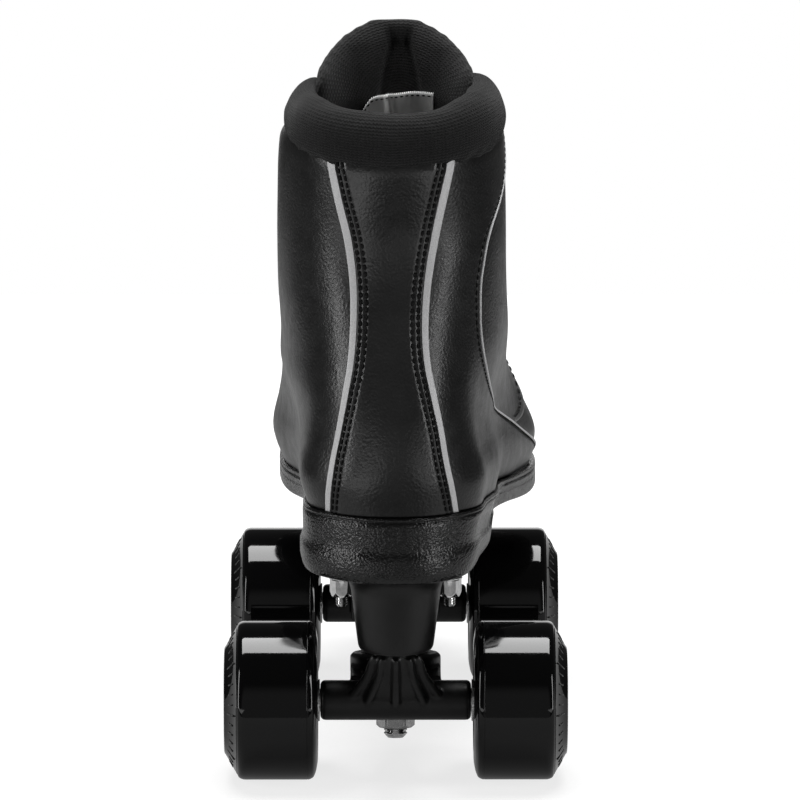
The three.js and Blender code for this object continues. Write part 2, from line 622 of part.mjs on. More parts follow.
function cushion(axleY, low, high) {
  const bore = KINGPIN_RADIUS + GAP;
  const face = CUSHION_RADIUS - 0.8;
  const profile = [[bore, low], [face, low], [CUSHION_RADIUS, low + 1.5], [face, mix(low, high, 0.5)],
    [CUSHION_RADIUS, high - 1.5], [face, high], [bore, high], [bore, low]];
  return onKingpin(turned(profile, 18), axleY);
}

const LOWER_CUSHION = [-YOKE_HALF_HEIGHT - GAP - 9, -YOKE_HALF_HEIGHT - GAP];
const UPPER_CUSHION = [YOKE_HALF_HEIGHT + GAP, CUSHION_SEAT - GAP];
const WASHER = [LOWER_CUSHION[0] - GAP - 1.5, LOWER_CUSHION[0] - GAP];
const KINGPIN_NUT = [WASHER[0] - GAP - 6.6, WASHER[0] - GAP];

function kingpinNut(axleY) {
  const cornerRadius = 6.6;
  const turnedNut = nut(cornerRadius, KINGPIN_RADIUS + GAP / 2, ...KINGPIN_NUT);
  return solidOf(onKingpin(geometryOf(turnedNut), axleY));
}

function truckPieces(name, axleY) {
  const pin = onKingpin(rod(KINGPIN_RADIUS, KINGPIN_FOOT, KINGPIN_HEAD, 20), axleY);
  const washer = onKingpin(ring(KINGPIN_RADIUS + GAP, 11.5, ...WASHER, 24), axleY);
  const bar = rod(AXLE_RADIUS, -AXLE_HALF_LENGTH, AXLE_HALF_LENGTH, 20).rotateY(Math.PI / 2);
  const lip = TOWER_BOTTOM_Z - WHEEL_RADIUS - 0.8;
  const cupTop = TOWER_BOTTOM_Z - WHEEL_RADIUS + PIVOT_CUP_DEPTH;
  const cupInside = 6.9;
  const cup = turned([[PIVOT_CUP_RADIUS, lip], [PIVOT_CUP_RADIUS, cupTop], [0, cupTop], [0, cupTop - 2],
    [cupInside, cupTop - 2], [cupInside, lip], [PIVOT_CUP_RADIUS, lip]], 24);
  return [
    piece(`${name}_hanger`, hanger(axleY), NYLON),
    piece(`${name}_axle`, inTruck(bar, axleY), STEEL),
    piece(`${name}_kingpin`, pin, STEEL),
    piece(`${name}_kingpin_nut`, kingpinNut(axleY), STEEL),
    piece(`${name}_cushion_washer`, washer, STEEL),
    piece(`${name}_upper_cushion`, cushion(axleY, ...UPPER_CUSHION), CUSHION),
    piece(`${name}_lower_cushion`, cushion(axleY, ...LOWER_CUSHION), CUSHION),
    piece(`${name}_pivot_cup`, inTruck(cup.translate(0, PIVOT_TIP.y, 0), axleY), CUSHION),
  ];
}

// ---- Wheels ----
// [radius, distance from the inner face] round the tyre. The radii are those of the flat facets.
function tyreProfile() {
  const corner = 1 / Math.cos(Math.PI / WHEEL_SIDES);
  const bore = HUB_RADIUS + GAP;
  const profile = [[bore, 0], [24.3, 0], [26.3, 0.9], [WHEEL_RADIUS, 2.8], [WHEEL_RADIUS, 24.6],
    [26.3, 26.8], [25.1, 27.7], [18.5, 31.4], [17.9, WHEEL_WIDTH], [bore, WHEEL_WIDTH], [bore, 0]];
  return profile.map(([radius, x]) => [radius * corner, x]);
}

// The hub holds a bearing against each side of its inner wall.
function hubProfile() {
  const seat = BEARING_RADIUS + GAP;
  const wall = 8.5;
  const inner = BEARING_INNER_X - WHEEL_INNER_X;
  const outer = BEARING_OUTER_X - WHEEL_INNER_X;
  const back = inner - GAP;
  const rim = WHEEL_WIDTH - 1.4;
  const recess = WHEEL_WIDTH - 4;
  return [[seat, back], [HUB_RADIUS, back], [HUB_RADIUS, rim], [15.4, rim], [13.4, recess], [seat, recess],
    [seat, outer - GAP], [wall, outer - GAP], [wall, inner + BEARING_WIDTH + GAP],
    [seat, inner + BEARING_WIDTH + GAP], [seat, back]];
}

function wheelPieces(name, side, axleY) {
  const set = (geometry, x) => {
    geometry.translate(x, 0, 0);
    if (side < 0) geometry.rotateZ(Math.PI);
    return geometry.translate(0, axleY, WHEEL_RADIUS);
  };
  const bore = AXLE_RADIUS + GAP;
  const bearing = () => turnedAboutX([[bore, 0], [BEARING_RADIUS, 0], [BEARING_RADIUS, BEARING_WIDTH],
    [bore, BEARING_WIDTH], [bore, 0]], 18);
  const lockNut = nut(NUT_13_RADIUS, AXLE_RADIUS + GAP / 2, 0, AXLE_NUT_HEIGHT);
  const hexagon = geometryOf(lockNut).rotateY(Math.PI / 2);
  return [
    piece(`${name}_tyre`, set(turnedAboutX(tyreProfile(), WHEEL_SIDES), WHEEL_INNER_X), URETHANE),
    piece(`${name}_hub`, set(turnedAboutX(hubProfile(), 24), WHEEL_INNER_X), HUB_NYLON),
    piece(`${name}_inner_bearing`, set(bearing(), BEARING_INNER_X), STEEL),
    piece(`${name}_outer_bearing`, set(bearing(), BEARING_OUTER_X), STEEL),
    piece(`${name}_axle_nut`, set(hexagon, BEARING_OUTER_X + BEARING_WIDTH + GAP), STEEL),
  ];
}

// ---- The skate ----
const skate = new THREE.Group();
skate.add(
  piece("outsole", outsole(), SOLE_RUBBER),
  piece("insole", insole(), INSOLE_FOAM),
  ...upperPanels(),
  piece("collar", collar(), KNIT),
  piece("tongue", tongue(), KNIT),
  piece("lace", lace(), LACE),
  piece("plate", plate(), NYLON),
  ...mountingBoltPlaces().map((place) => piece(`mounting_bolt_${place.name}`, mountingBolt(place), STEEL)),
  ...mountingBoltPlaces().map((place) => piece(`mounting_nut_${place.name}`, mountingNut(place), STEEL)),
  piece("toe_stop", toeStop(), SOLE_RUBBER),
  piece("toe_stop_bolt", toeStopBolt(), STEEL),
  ...truckPieces("rear", REAR_AXLE_Y),
  ...truckPieces("front", FRONT_AXLE_Y),
  ...wheelPieces("rear_right", 1, REAR_AXLE_Y),
  ...wheelPieces("rear_left", -1, REAR_AXLE_Y),
  ...wheelPieces("front_right", 1, FRONT_AXLE_Y),
  ...wheelPieces("front_left", -1, FRONT_AXLE_Y),
);
export default skate;
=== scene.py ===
"""Quad roller skate for the right foot: the looks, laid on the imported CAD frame.
Lengths in the tables and calls below are millimetres; meshes, lights and the floor are in metres.
+Y points to the toe, +X to the wearer's right (the outer side), +Z up, and the origin is on the ground."""
import math

import bmesh
import bpy
import numpy as np
from mathutils import Matrix, Vector


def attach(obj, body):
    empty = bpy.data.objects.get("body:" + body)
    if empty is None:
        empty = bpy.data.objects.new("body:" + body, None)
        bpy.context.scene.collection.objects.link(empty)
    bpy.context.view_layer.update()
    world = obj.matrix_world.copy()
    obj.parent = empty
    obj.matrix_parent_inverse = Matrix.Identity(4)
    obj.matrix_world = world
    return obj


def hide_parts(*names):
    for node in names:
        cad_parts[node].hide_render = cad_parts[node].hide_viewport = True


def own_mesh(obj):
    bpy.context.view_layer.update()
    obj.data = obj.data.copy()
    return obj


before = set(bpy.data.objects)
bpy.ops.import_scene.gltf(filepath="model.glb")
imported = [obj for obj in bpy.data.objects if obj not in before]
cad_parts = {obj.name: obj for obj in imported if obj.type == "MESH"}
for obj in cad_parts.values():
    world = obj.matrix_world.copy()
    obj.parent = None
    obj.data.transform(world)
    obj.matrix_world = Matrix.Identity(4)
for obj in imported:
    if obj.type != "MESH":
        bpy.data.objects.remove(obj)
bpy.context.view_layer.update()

MM = 0.001
TAU = 2 * math.pi

def link(name, data):
    """A new object in the scene with this mesh, light or camera."""
    made = bpy.data.objects.new(name, data)
    bpy.context.scene.collection.objects.link(made)
    return made


# ---- Camera: a long lens, behind the heel and a little above ----
REAR_AXLE_Y = -92.0
FRONT_AXLE_Y = 58.0
CAMERA_PITCH = math.radians(11.3)
CAMERA_YAW = math.radians(0.2)
CAMERA_LENS = 378.26
CAMERA_PLACE = (-8.24, REAR_AXLE_Y - 2779.49, 686.28)


def make_camera():
    camera = bpy.data.cameras.new("camera")
    camera.lens = CAMERA_LENS
    camera.sensor_width = 36.0
    camera.clip_end = 30.0
    holder = link("camera", camera)
    holder.location = Vector(CAMERA_PLACE) * MM
    holder.rotation_euler = (math.pi / 2 - CAMERA_PITCH, 0, -CAMERA_YAW)
    bpy.context.scene.camera = holder


make_camera()


# ---- Small maths ----
def mix(a, b, t):
    return a + (b - a) * t


def ease(x, low, high):
    t = np.clip((np.asarray(x, float) - low) / (high - low), 0, 1)
    return t * t * (3 - 2 * t)


def along(values, t):
    """A smooth curve through evenly spaced values, read at t from 0 to 1."""
    values = np.asarray(values, float)
    place = np.clip(np.asarray(t, float), 0, 1) * (len(values) - 1)
    i = np.minimum(np.floor(place).astype(int), len(values) - 2)
    f = place - i
    before = values[np.maximum(i - 1, 0)]
    after = values[np.minimum(i + 2, len(values) - 1)]
    start = (values[i + 1] - before) / 2
    end = (after - values[i]) / 2
    rise = values[i + 1] - values[i]
    return values[i] + f * (start + f * (3 * rise - 2 * start - end + f * (start + end - 2 * rise)))


def unit(vectors):
    return vectors / np.maximum(np.linalg.norm(vectors, axis=-1, keepdims=True), 1e-9)


# ---- Sole outline and boot surface, as in the CAD ----
SOLE_LENGTH = 260.0
HEEL_BACK_Y = -SOLE_LENGTH / 2
OUTER_BREADTH = [45, 46, 47.4, 41, 39.5, 37, 43, 50.9, 53.9, 54, 52, 50, 50]
INNER_BREADTH = [45, 46.6, 48.8, 41.5, 34, 31, 32.5, 40.5, 45.6, 49, 50, 49, 50]
BLUNTNESS = 0.8
HEEL_TOP_Z = 98.0
TREAD_TOP_Z = 82.4
SOLE_BOTTOM_Z = 75.3
ARCH_BOTTOM_Z = 81.0
BOOT_CENTRE_X = -1.2
RINGS = np.array([
    # back z, front z, back s, front s, outer half, inner half, outer scale, inner scale, foot share, dip
    [98.3, 86.9, 1.5, 258, 38, 38, 0.955, 0.96, 1, 1],
    [108, 99, 0.4, 258.5, 38, 38, 1.01, 1.06, 1, 1],
    [118, 111, 0.6, 250, 38.5, 38.5, 0.965, 1.04, 0.78, 0.8],
    [128, 121.5, 1.8, 229, 39, 39.6, 0.91, 1.0, 0.5, 0.55],
    [138, 131, 4, 200, 39.5, 40.2, 0.86, 0.96, 0.25, 0.3],
    [150, 144, 7, 169, 39.8, 39.2, 0.85, 0.86, 0.08, 0.1],
    [163, 159, 9.5, 147, 39.5, 39, 0.8, 0.8, 0, 0],
    [177, 177, 11.5, 131, 39.4, 39, 0.8, 0.8, 0, 0],
    [191, 193, 12, 119, 39, 39, 0.8, 0.8, 0, 0],
    [204, 207, 10.5, 111, 38.7, 38.4, 0.8, 0.8, 0, 0],
    [217, 220, 8.5, 107, 38, 37, 0.8, 0.8, 0, 0],
])


def sole_breadth(is_outer, turn):
    table = np.where(is_outer, along(OUTER_BREADTH, turn / math.pi), along(INNER_BREADTH, turn / math.pi))
    return table * np.power(np.maximum(np.sin(turn), 0), BLUNTNESS)


def sole_top(s):
    spring = np.maximum(0, s - 200) / 60
    return mix(HEEL_TOP_Z, TREAD_TOP_Z, ease(s, 5, 185)) + 4 * spring * spring


def sole_underside(s):
    spring = np.maximum(0, s - 222) / 38
    raised = ease(s, 57, 62) - ease(s, 95, 155)
    return mix(SOLE_BOTTOM_Z, ARCH_BOTTOM_Z, raised) + 3.5 * spring * spring


def boot_surface(turn, level):
    """turn runs from 0 at the back through the outer side to pi at the front, and level from 0 at the sole
    to 1 at the foot of the collar."""
    turn, level = np.broadcast_arrays(np.asarray(turn, float), np.asarray(level, float))
    turn = np.mod(turn, TAU)
    is_outer = turn <= math.pi
    half = np.where(is_outer, turn, TAU - turn)
    forward = (1 - np.cos(half)) / 2
    back_z, front_z, back_s, front_s, outer_half, inner_half, outer_scale, inner_scale, share, dip = (
        along(RINGS[:, k], level) for k in range(RINGS.shape[1]))
    foot = sole_breadth(is_outer, half) * np.where(is_outer, outer_scale, inner_scale)
    shaft = np.where(is_outer, outer_half, inner_half) * np.power(np.maximum(np.sin(half), 0), BLUNTNESS)
    breadth = mix(shaft, foot, share)
    s = mix(back_s, front_s, forward)
    straight = mix(HEEL_TOP_Z, sole_top(SOLE_LENGTH), s / SOLE_LENGTH)
    swell = 3 * np.sin(half) * ease(level, 0.75, 1)
    z = mix(back_z, front_z, forward) + swell + dip * (sole_top(s) - straight)
    centre = BOOT_CENTRE_X * (1 - share)
    return np.stack([centre + np.where(is_outer, breadth, -breadth), HEEL_BACK_Y + s, z], -1)


def boot_normal(turn, level):
    """The surface's outward direction."""
    step = 0.02
    level = np.asarray(level, float)
    across = boot_surface(turn + step, level) - boot_surface(turn - step, level)
    upward = boot_surface(turn, np.minimum(level + step, 1)) - boot_surface(turn, np.maximum(level - step, 0))
    return unit(np.cross(across, upward))


def boot_point(turn, level, depth=0.0):
    depth = np.asarray(depth, float)
    return boot_surface(turn, level) - boot_normal(turn, level) * depth[..., None]


def turn_per_mm(turn, level):
    step = 0.01
    stretch = boot_surface(turn + step, level) - boot_surface(turn - step, level)
    return 2 * step / np.maximum(np.linalg.norm(stretch, axis=-1), 1e-6)


# ---- Mesh building ----
def mesh_object(name, points, faces, smooth=True):
    """points in millimetres."""
    mesh = bpy.data.meshes.new(name)
    mesh.from_pydata((np.asarray(points, float) * MM).tolist(), [], faces)
    mesh.polygons.foreach_set("use_smooth", [smooth] * len(mesh.polygons))
    mesh.validate()
    return link(name, mesh)


def grid_faces(rows, columns, start=0, close_rows=False, close_columns=False):
    faces = []
    for i in range(rows if close_rows else rows - 1):
        for j in range(columns if close_columns else columns - 1):
            k = (j + 1) % columns
            n = (i + 1) % rows
            faces.append((start + i * columns + j, start + i * columns + k, start + n * columns + k,
                          start + n * columns + j))
    return faces


def end_faces(rows, columns):
    """Faces that close a tube's first and last ring."""
    return [tuple(range(columns)), tuple(reversed(range((rows - 1) * columns, rows * columns)))]


def folded_cap(start, count):
    """Faces that close a ring symmetric about Y, from one side straight across to the other."""
    return [(start + k, start + k + 1, start + count - k - 2, start + count - k - 1)
            for k in range(count // 2 - 1)]


def run_along(points):
    """The distance of each point along its polyline."""
    return np.concatenate([[0], np.cumsum(np.linalg.norm(np.diff(points, axis=0), axis=1))])


def sheet_geometry(outer, inner):
    """A closed sheet between two grids of points."""
    rows, columns = outer.shape[:2]
    count = rows * columns
    faces = grid_faces(rows, columns)
    faces += [tuple(reversed([v + count for v in face])) for face in grid_faces(rows, columns)]
    rim = [i * columns for i in range(rows)] + [(rows - 1) * columns + j for j in range(1, columns)]
    rim += [i * columns + columns - 1 for i in range(rows - 2, -1, -1)] + list(range(columns - 2, 0, -1))
    for a, b in zip(rim, rim[1:] + rim[:1]):
        faces.append((a, b, b + count, a + count))
    return np.concatenate([outer.reshape(-1, 3), inner.reshape(-1, 3)]), faces


def fix_normals(piece):
    shape = bmesh.new()
    shape.from_mesh(piece.data)
    bmesh.ops.recalc_face_normals(shape, faces=shape.faces)
    shape.to_mesh(piece.data)
    shape.free()


def finish_piece(piece, material, body, replaces=(), bevel=0.0):
    """Gives a piece its material and body, and hides the CAD nodes that it stands for."""
    fix_normals(piece)
    piece.data.materials.clear()
    piece.data.materials.append(material)
    if bevel:
        rounding = piece.modifiers.new("edges", "BEVEL")
        rounding.width = bevel * MM
        rounding.segments = 3
        rounding.limit_method = "ANGLE"
        rounding.angle_limit = math.radians(35)
        rounding.harden_normals = False
    if replaces:
        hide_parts(*replaces)
    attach(piece, body)
    return piece


def sharpen(piece, degrees=40):
    """Smooth shading with sharp edges kept."""
    shape = bmesh.new()
    shape.from_mesh(piece.data)
    limit = math.radians(degrees)
    for edge in shape.edges:
        edge.smooth = len(edge.link_faces) != 2 or edge.calc_face_angle(0) < limit
    shape.to_mesh(piece.data)
    shape.free()


def lathe_geometry(profile, sides=96, closed=False):
    """A profile of (radius, height) turned about Z. Points of radius 0 close the ends."""
    angles = np.arange(sides) * TAU / sides
    points, rings = [], []
    for radius, height in profile:
        if radius <= 1e-6:
            rings.append([len(points)])
            points.append((0, 0, height))
            continue
        rings.append(list(range(len(points), len(points) + sides)))
        points += [(radius * math.cos(a), radius * math.sin(a), height) for a in angles]
    faces = []
    pairs = list(zip(rings, rings[1:] + rings[:1])) if closed else list(zip(rings, rings[1:]))
    for a, b in pairs:
        for j in range(sides):
            k = (j + 1) % sides
            if len(a) == 1 and len(b) == 1:
                continue
            if len(a) == 1:
                faces.append((a[0], b[k], b[j]))
            elif len(b) == 1:
                faces.append((a[j], a[k], b[0]))
            else:
                faces.append((a[j], a[k], b[k], b[j]))
    return np.array(points, float), faces


def rounded(profile, radius=0.6, steps=4):
    """The same profile with its inner corners rounded by a quadratic curve."""
    profile = [np.array(p, float) for p in profile]
    made = [profile[0]]
    for before, corner, after in zip(profile, profile[1:], profile[2:]):
        into = corner - before
        away = after - corner
        size_in, size_out = np.linalg.norm(into), np.linalg.norm(away)
        reach = min(radius, size_in * 0.45, size_out * 0.45)
        start = corner - into / max(size_in, 1e-9) * reach
        end = corner + away / max(size_out, 1e-9) * reach
        for k in range(steps + 1):
            t = k / steps
            made.append((1 - t) ** 2 * start + 2 * t * (1 - t) * corner + t * t * end)
    made.append(profile[-1])
    return [tuple(p) for p in made]


def joined(parts):
    """One (points, faces) from several."""
    points, faces, count = [], [], 0
    for some_points, some_faces in parts:
        points.append(np.asarray(some_points, float))
        faces += [tuple(v + count for v in face) for face in some_faces]
        count += len(some_points)
    return np.concatenate(points), faces


def moved(geometry, matrix):
    points, faces = geometry
    rotation = np.array(matrix.to_3x3())
    return points @ rotation.T + np.array(matrix.translation), faces


def tube_geometry(centres, normals, section, closed=False):
    """A section of (across, out) points swept along centres; normals say which way is out."""
    centres = np.asarray(centres, float)
    if closed:
        tangents = np.roll(centres, -1, 0) - np.roll(centres, 1, 0)
    else:
        tangents = np.gradient(centres, axis=0)
    tangents = unit(tangents)
    outward = unit(normals - tangents * np.sum(normals * tangents, -1, keepdims=True))
    across = np.cross(tangents, outward)
    section = np.asarray(section, float)
    grid = (centres[:, None] + across[:, None] * section[None, :, :1]
            + outward[:, None] * section[None, :, 1:])
    rows, columns = grid.shape[:2]
    faces = grid_faces(rows, columns, close_rows=closed, close_columns=True)
    if not closed:
        faces += end_faces(rows, columns)
    return grid.reshape(-1, 3), faces


def ellipse(half_width, half_height, count=12):
    angles = [TAU * k / count for k in range(count)]
    return [(half_width * math.cos(a), half_height * math.sin(a)) for a in angles]


def evenly(points, normals, pitch):
    """Points, directions and normals at an even pitch along a polyline."""
    run = run_along(points)
    count = max(2, int(run[-1] / pitch))
    places = (np.arange(count) + 0.5) * run[-1] / count

    def read(values, at):
        return np.stack([np.interp(at, run, values[:, k]) for k in range(3)], -1)

    ahead, behind = read(points, places + 0.1), read(points, places - 0.1)
    return read(points, places), unit(ahead - behind), unit(read(normals, places))


def stitch_row(points, normals, pitch=3.0, length=2.3, width=0.8, height=0.45):
    """A row of thread stitches lying on a surface, each a small sunk capsule."""
    spots, tangents, out = evenly(points, normals, pitch)
    profile = [(-0.42, 0.6), (-0.2, 1.0), (0.2, 1.0), (0.42, 0.6)]
    parts = []
    for spot, tangent, normal in zip(spots, tangents, out):
        side = np.cross(normal, tangent)
        rings = []
        for place, size in profile:
            lift = 0.12 * (1 - abs(place) * 2)
            for a in (0, 60, 120, 180, 240, 300):
                c, s = math.cos(math.radians(a)), math.sin(math.radians(a))
                rings.append(spot + tangent * place * length + side * c * size * width / 2
                             + normal * (s * size * height + lift))
        ends = [spot - tangent * length / 2, spot + tangent * length / 2]
        faces = grid_faces(4, 6, close_columns=True)
        faces += [((k + 1) % 6, k, 24) for k in range(6)] + [(18 + k, 18 + (k + 1) % 6, 25) for k in range(6)]
        parts.append((np.array(rings + ends), faces))
    return joined(parts)


# ---- Materials ----
class Shader:
    """A Principled material with short calls for its nodes."""

    def __init__(self, name, colour, roughness, metallic=0.0, **sockets):
        self.material = bpy.data.materials.new(name)
        self.material.use_nodes = True
        self.tree = self.material.node_tree
        self.bsdf = self.tree.nodes["Principled BSDF"]
        self.set("Base Color", (*colour, 1) if len(colour) == 3 else colour)
        self.set("Roughness", roughness)
        self.set("Metallic", metallic)
        for key, value in sockets.items():
            self.set(key.replace("_", " "), value)
        self.place = self.node("ShaderNodeTexCoord").outputs["Object"]
        self.last_bump = None

    def set(self, socket, value):
        self.bsdf.inputs[socket].default_value = value

    def node(self, kind, **values):
        made = self.tree.nodes.new(kind)
        for key, value in values.items():
            setattr(made, key, value)
        return made

    def join(self, a, b):
        self.tree.links.new(a, b)

    def stretched(self, scale):
        mapping = self.node("ShaderNodeMapping")
        mapping.inputs["Scale"].default_value = scale
        self.join(self.place, mapping.inputs["Vector"])
        return mapping.outputs["Vector"]

    def noise(self, size_mm, detail=3.0, roughness=0.55, vector=None, distortion=0.0):
        made = self.node("ShaderNodeTexNoise")
        made.inputs["Scale"].default_value = 1000.0 / size_mm
        made.inputs["Detail"].default_value = detail
        made.inputs["Roughness"].default_value = roughness
        made.inputs["Distortion"].default_value = distortion
        self.join(vector or self.place, made.inputs["Vector"])
        return made.outputs["Fac"]

    def cells(self, size_mm, feature="F1", vector=None, output="Distance"):
        made = self.node("ShaderNodeTexVoronoi", feature=feature)
        made.inputs["Scale"].default_value = 1000.0 / size_mm
        self.join(vector or self.place, made.inputs["Vector"])
        return made.outputs[output]

    def ranged(self, value, low, high, from_low=0.3, from_high=0.7):
        made = self.node("ShaderNodeMapRange")
        made.inputs["From Min"].default_value = from_low
        made.inputs["From Max"].default_value = from_high
        made.inputs["To Min"].default_value = low
        made.inputs["To Max"].default_value = high
        self.join(value, made.inputs["Value"])
        return made.outputs["Result"]

    def maths(self, operation, a, b=None):
        made = self.node("ShaderNodeMath", operation=operation)
        for socket, value in zip(made.inputs, (a, b)):
            if value is None:
                continue
            if isinstance(value, (int, float)):
                socket.default_value = value
            else:
                self.join(value, socket)
        return made.outputs[0]

    def colours(self, factor, dark, light):
        made = self.node("ShaderNodeMix", data_type="RGBA")
        made.inputs["A"].default_value = (*dark, 1)
        made.inputs["B"].default_value = (*light, 1)
        self.join(factor, made.inputs["Factor"])
        self.join(made.outputs["Result"], self.bsdf.inputs["Base Color"])

    def rough(self, value):
        self.join(value, self.bsdf.inputs["Roughness"])

    def bump(self, height, depth_mm, strength=1.0):
        made = self.node("ShaderNodeBump")
        made.inputs["Distance"].default_value = depth_mm * MM
        made.inputs["Strength"].default_value = strength
        self.join(height, made.inputs["Height"])
        if self.last_bump:
            self.join(self.last_bump, made.inputs["Normal"])
        self.last_bump = made.outputs["Normal"]
        self.join(self.last_bump, self.bsdf.inputs["Normal"])


def leather_material(name="coated_leather", tone=0.008):
    s = Shader(name, (tone, tone, tone), 0.4, Specular_IOR_Level=0.4)
    s.colours(s.ranged(s.noise(14, 4), 0, 1), (tone * 0.8,) * 3, (tone * 1.25,) * 3)
    s.rough(s.ranged(s.noise(5, 5), 0.28, 0.37))
    s.bump(s.noise(22, 2), 0.6, 0.5)
    s.bump(s.cells(0.9, "SMOOTH_F1"), 0.15, 0.65)
    s.bump(s.noise(0.45, 4), 0.06, 0.6)
    return s.material


def knit_material(name="ribbed_knit", tone=0.008):
    """Fine rows of loops. The attribute knit holds millimetres along and across the cloth."""
    s = Shader(name, (tone, tone, tone), 0.92, Sheen_Weight=0.12, Sheen_Roughness=0.5,
               Specular_IOR_Level=0.15)
    s.set("Sheen Tint", (0.6, 0.6, 0.6, 1))
    cloth = s.node("ShaderNodeAttribute", attribute_name="knit")
    split = s.node("ShaderNodeSeparateXYZ")
    s.join(cloth.outputs["Vector"], split.inputs["Vector"])
    loop = s.maths("SINE", s.maths("MULTIPLY", split.outputs["X"], TAU / 1.1))
    row = s.maths("SINE", s.maths("ADD", s.maths("MULTIPLY", split.outputs["Y"], TAU / 1.0),
                                  s.maths("MULTIPLY", loop, 0.9)))
    weave = s.maths("ADD", row, s.maths("MULTIPLY", loop, 0.35))
    fuzz = s.maths("MULTIPLY", s.ranged(s.noise(0.5, 3), -1.5, 1.5), 1.0)
    # The colour follows the weave's relief, as the bump does: darker in the hollows between loops and rows
    # (painted shade) and lighter on their crowns (painted highlight). The fine noise added to it is random
    # fibre tone.
    s.colours(s.ranged(s.maths("ADD", weave, fuzz), 0, 1, -2.2, 2.2), (tone * 0.3,) * 3, (tone * 2.0,) * 3)
    s.bump(s.noise(9, 3), 0.5, 0.5)
    s.bump(weave, 0.12, 0.6)
    s.bump(s.noise(0.35, 3), 0.16, 0.8)
    return s.material


def stripe_material():
    s = Shader("reflective_tape", (0.5, 0.5, 0.505), 0.5, Specular_IOR_Level=0.4)
    s.colours(s.ranged(s.noise(0.45, 2), 0, 1), (0.44, 0.44, 0.445), (0.58, 0.58, 0.585))
    s.bump(s.cells(0.5), 0.05, 0.5)
    return s.material


def sole_material(name="moulded_sole", tone=0.004):
    s = Shader(name, (tone, tone, tone), 0.4, Specular_IOR_Level=0.4)
    s.colours(s.ranged(s.noise(9, 4), 0, 1), (tone * 0.8,) * 3, (tone * 1.3,) * 3)
    s.rough(s.ranged(s.noise(3, 4), 0.17, 0.26))
    s.bump(s.cells(0.75, "SMOOTH_F1"), 0.3, 0.9)
    s.bump(s.noise(0.4, 2), 0.12, 0.7)
    return s.material


def nylon_material(name="moulded_nylon", tone=0.004, roughness=0.38):
    s = Shader(name, (tone, tone, tone), roughness, Specular_IOR_Level=0.36)
    s.colours(s.ranged(s.noise(6, 4), 0, 1), (tone * 0.85,) * 3, (tone * 1.2,) * 3)
    s.rough(s.ranged(s.noise(2.5, 4), roughness - 0.05, roughness + 0.06))
    s.bump(s.noise(0.35, 3), 0.03, 0.5)
    s.bump(s.noise(12, 2), 0.25, 0.3)
    return s.material


def urethane_material():
    s = Shader("cast_urethane", (0.0015, 0.0015, 0.0016), 0.07, Specular_IOR_Level=0.32)
    s.rough(s.ranged(s.noise(7, 4), 0.04, 0.08))
    s.bump(s.noise(18, 2), 0.12, 0.25)
    return s.material


def mark_material():
    s = Shader("moulded_marks", (0.03, 0.03, 0.03), 0.4, Specular_IOR_Level=0.3)
    s.rough(s.ranged(s.noise(2, 3), 0.24, 0.4))
    return s.material


def steel_material(name="zinc_plate", tone=0.62, roughness=0.26):
    s = Shader(name, (tone, tone, tone * 1.01), roughness, metallic=1.0)
    s.colours(s.ranged(s.noise(2.5, 5), 0, 1), (tone * 0.75,) * 3, (tone * 1.1,) * 3)
    s.rough(s.ranged(s.noise(1.2, 4), roughness - 0.08, roughness + 0.12))
    s.bump(s.noise(0.5, 3), 0.02, 0.5)
    return s.material


def rubber_material(name="cushion_rubber", tone=0.014):
    s = Shader(name, (tone, tone, tone), 0.5, Specular_IOR_Level=0.4)
    s.colours(s.ranged(s.noise(5, 3), 0, 1), (tone * 0.8,) * 3, (tone * 1.3,) * 3)
    s.rough(s.ranged(s.noise(1.5, 3), 0.44, 0.6))
    s.bump(s.noise(0.6, 3), 0.05, 0.5)
    return s.material


def cloth_material(name, tone, weave_mm):
    """A plain weave from two crossed waves, for linings, insole and lace."""
    s = Shader(name, (tone, tone, tone), 0.9, Sheen_Weight=0.2, Specular_IOR_Level=0.25)
    cloth = s.node("ShaderNodeAttribute", attribute_name="knit")
    split = s.node("ShaderNodeSeparateXYZ")
    s.join(cloth.outputs["Vector"], split.inputs["Vector"])
    warp = s.maths("SINE", s.maths("MULTIPLY", split.outputs["X"], TAU / weave_mm))
    weft = s.maths("SINE", s.maths("MULTIPLY", split.outputs["Y"], TAU / weave_mm))
    weave = s.maths("MULTIPLY", warp, weft)
    # The colour follows the weave's relief, as the bump does: darker where the crossed waves sink (painted
    # shade) and lighter where they rise (painted highlight).
    s.colours(s.ranged(weave, 0, 1, -1, 1), (tone * 0.55,) * 3, (tone * 1.5,) * 3)
    s.bump(weave, 0.15, 0.6)
    s.bump(s.noise(0.4, 3), 0.08, 0.5)
    return s.material


def thread_material():
    s = Shader("black_thread", (0.002, 0.002, 0.002), 0.7, Specular_IOR_Level=0.15)
    s.bump(s.noise(0.3, 3), 0.08, 0.6)
    s.rough(s.ranged(s.noise(0.6, 2), 0.5, 0.75))
    return s.material


def label_material():
    s = Shader("satin_label", (0.82, 0.82, 0.81), 0.42, Sheen_Weight=0.3)
    s.colours(s.ranged(s.noise(6, 3), 0, 1), (0.76, 0.76, 0.75), (0.88, 0.88, 0.87))
    s.bump(s.noise(0.25, 2, vector=s.stretched((0.25, 1, 1))), 0.04, 0.5)
    return s.material


LEATHER = leather_material()
KNIT = knit_material()
TONGUE_KNIT = knit_material("tongue_knit", 0.013)
STRIPE = stripe_material()
SOLE = sole_material()
NYLON = nylon_material()
URETHANE = urethane_material()
MARK = mark_material()
HUB = nylon_material("hub_nylon", 0.008, 0.34)
STEEL = steel_material(tone=0.8, roughness=0.14)
# A darker tone of the same plated steel, for the eyelets, the kingpin nuts and the bearing shields.
DARK_STEEL = steel_material("darker_steel", 0.45, 0.2)
RUBBER = rubber_material()
LINING = cloth_material("lining_cloth", 0.02, 1.1)
INSOLE = cloth_material("insole_cloth", 0.028, 1.3)
LACE = cloth_material("lace_braid", 0.012, 1.2)
THREAD = thread_material()
LABEL = label_material()


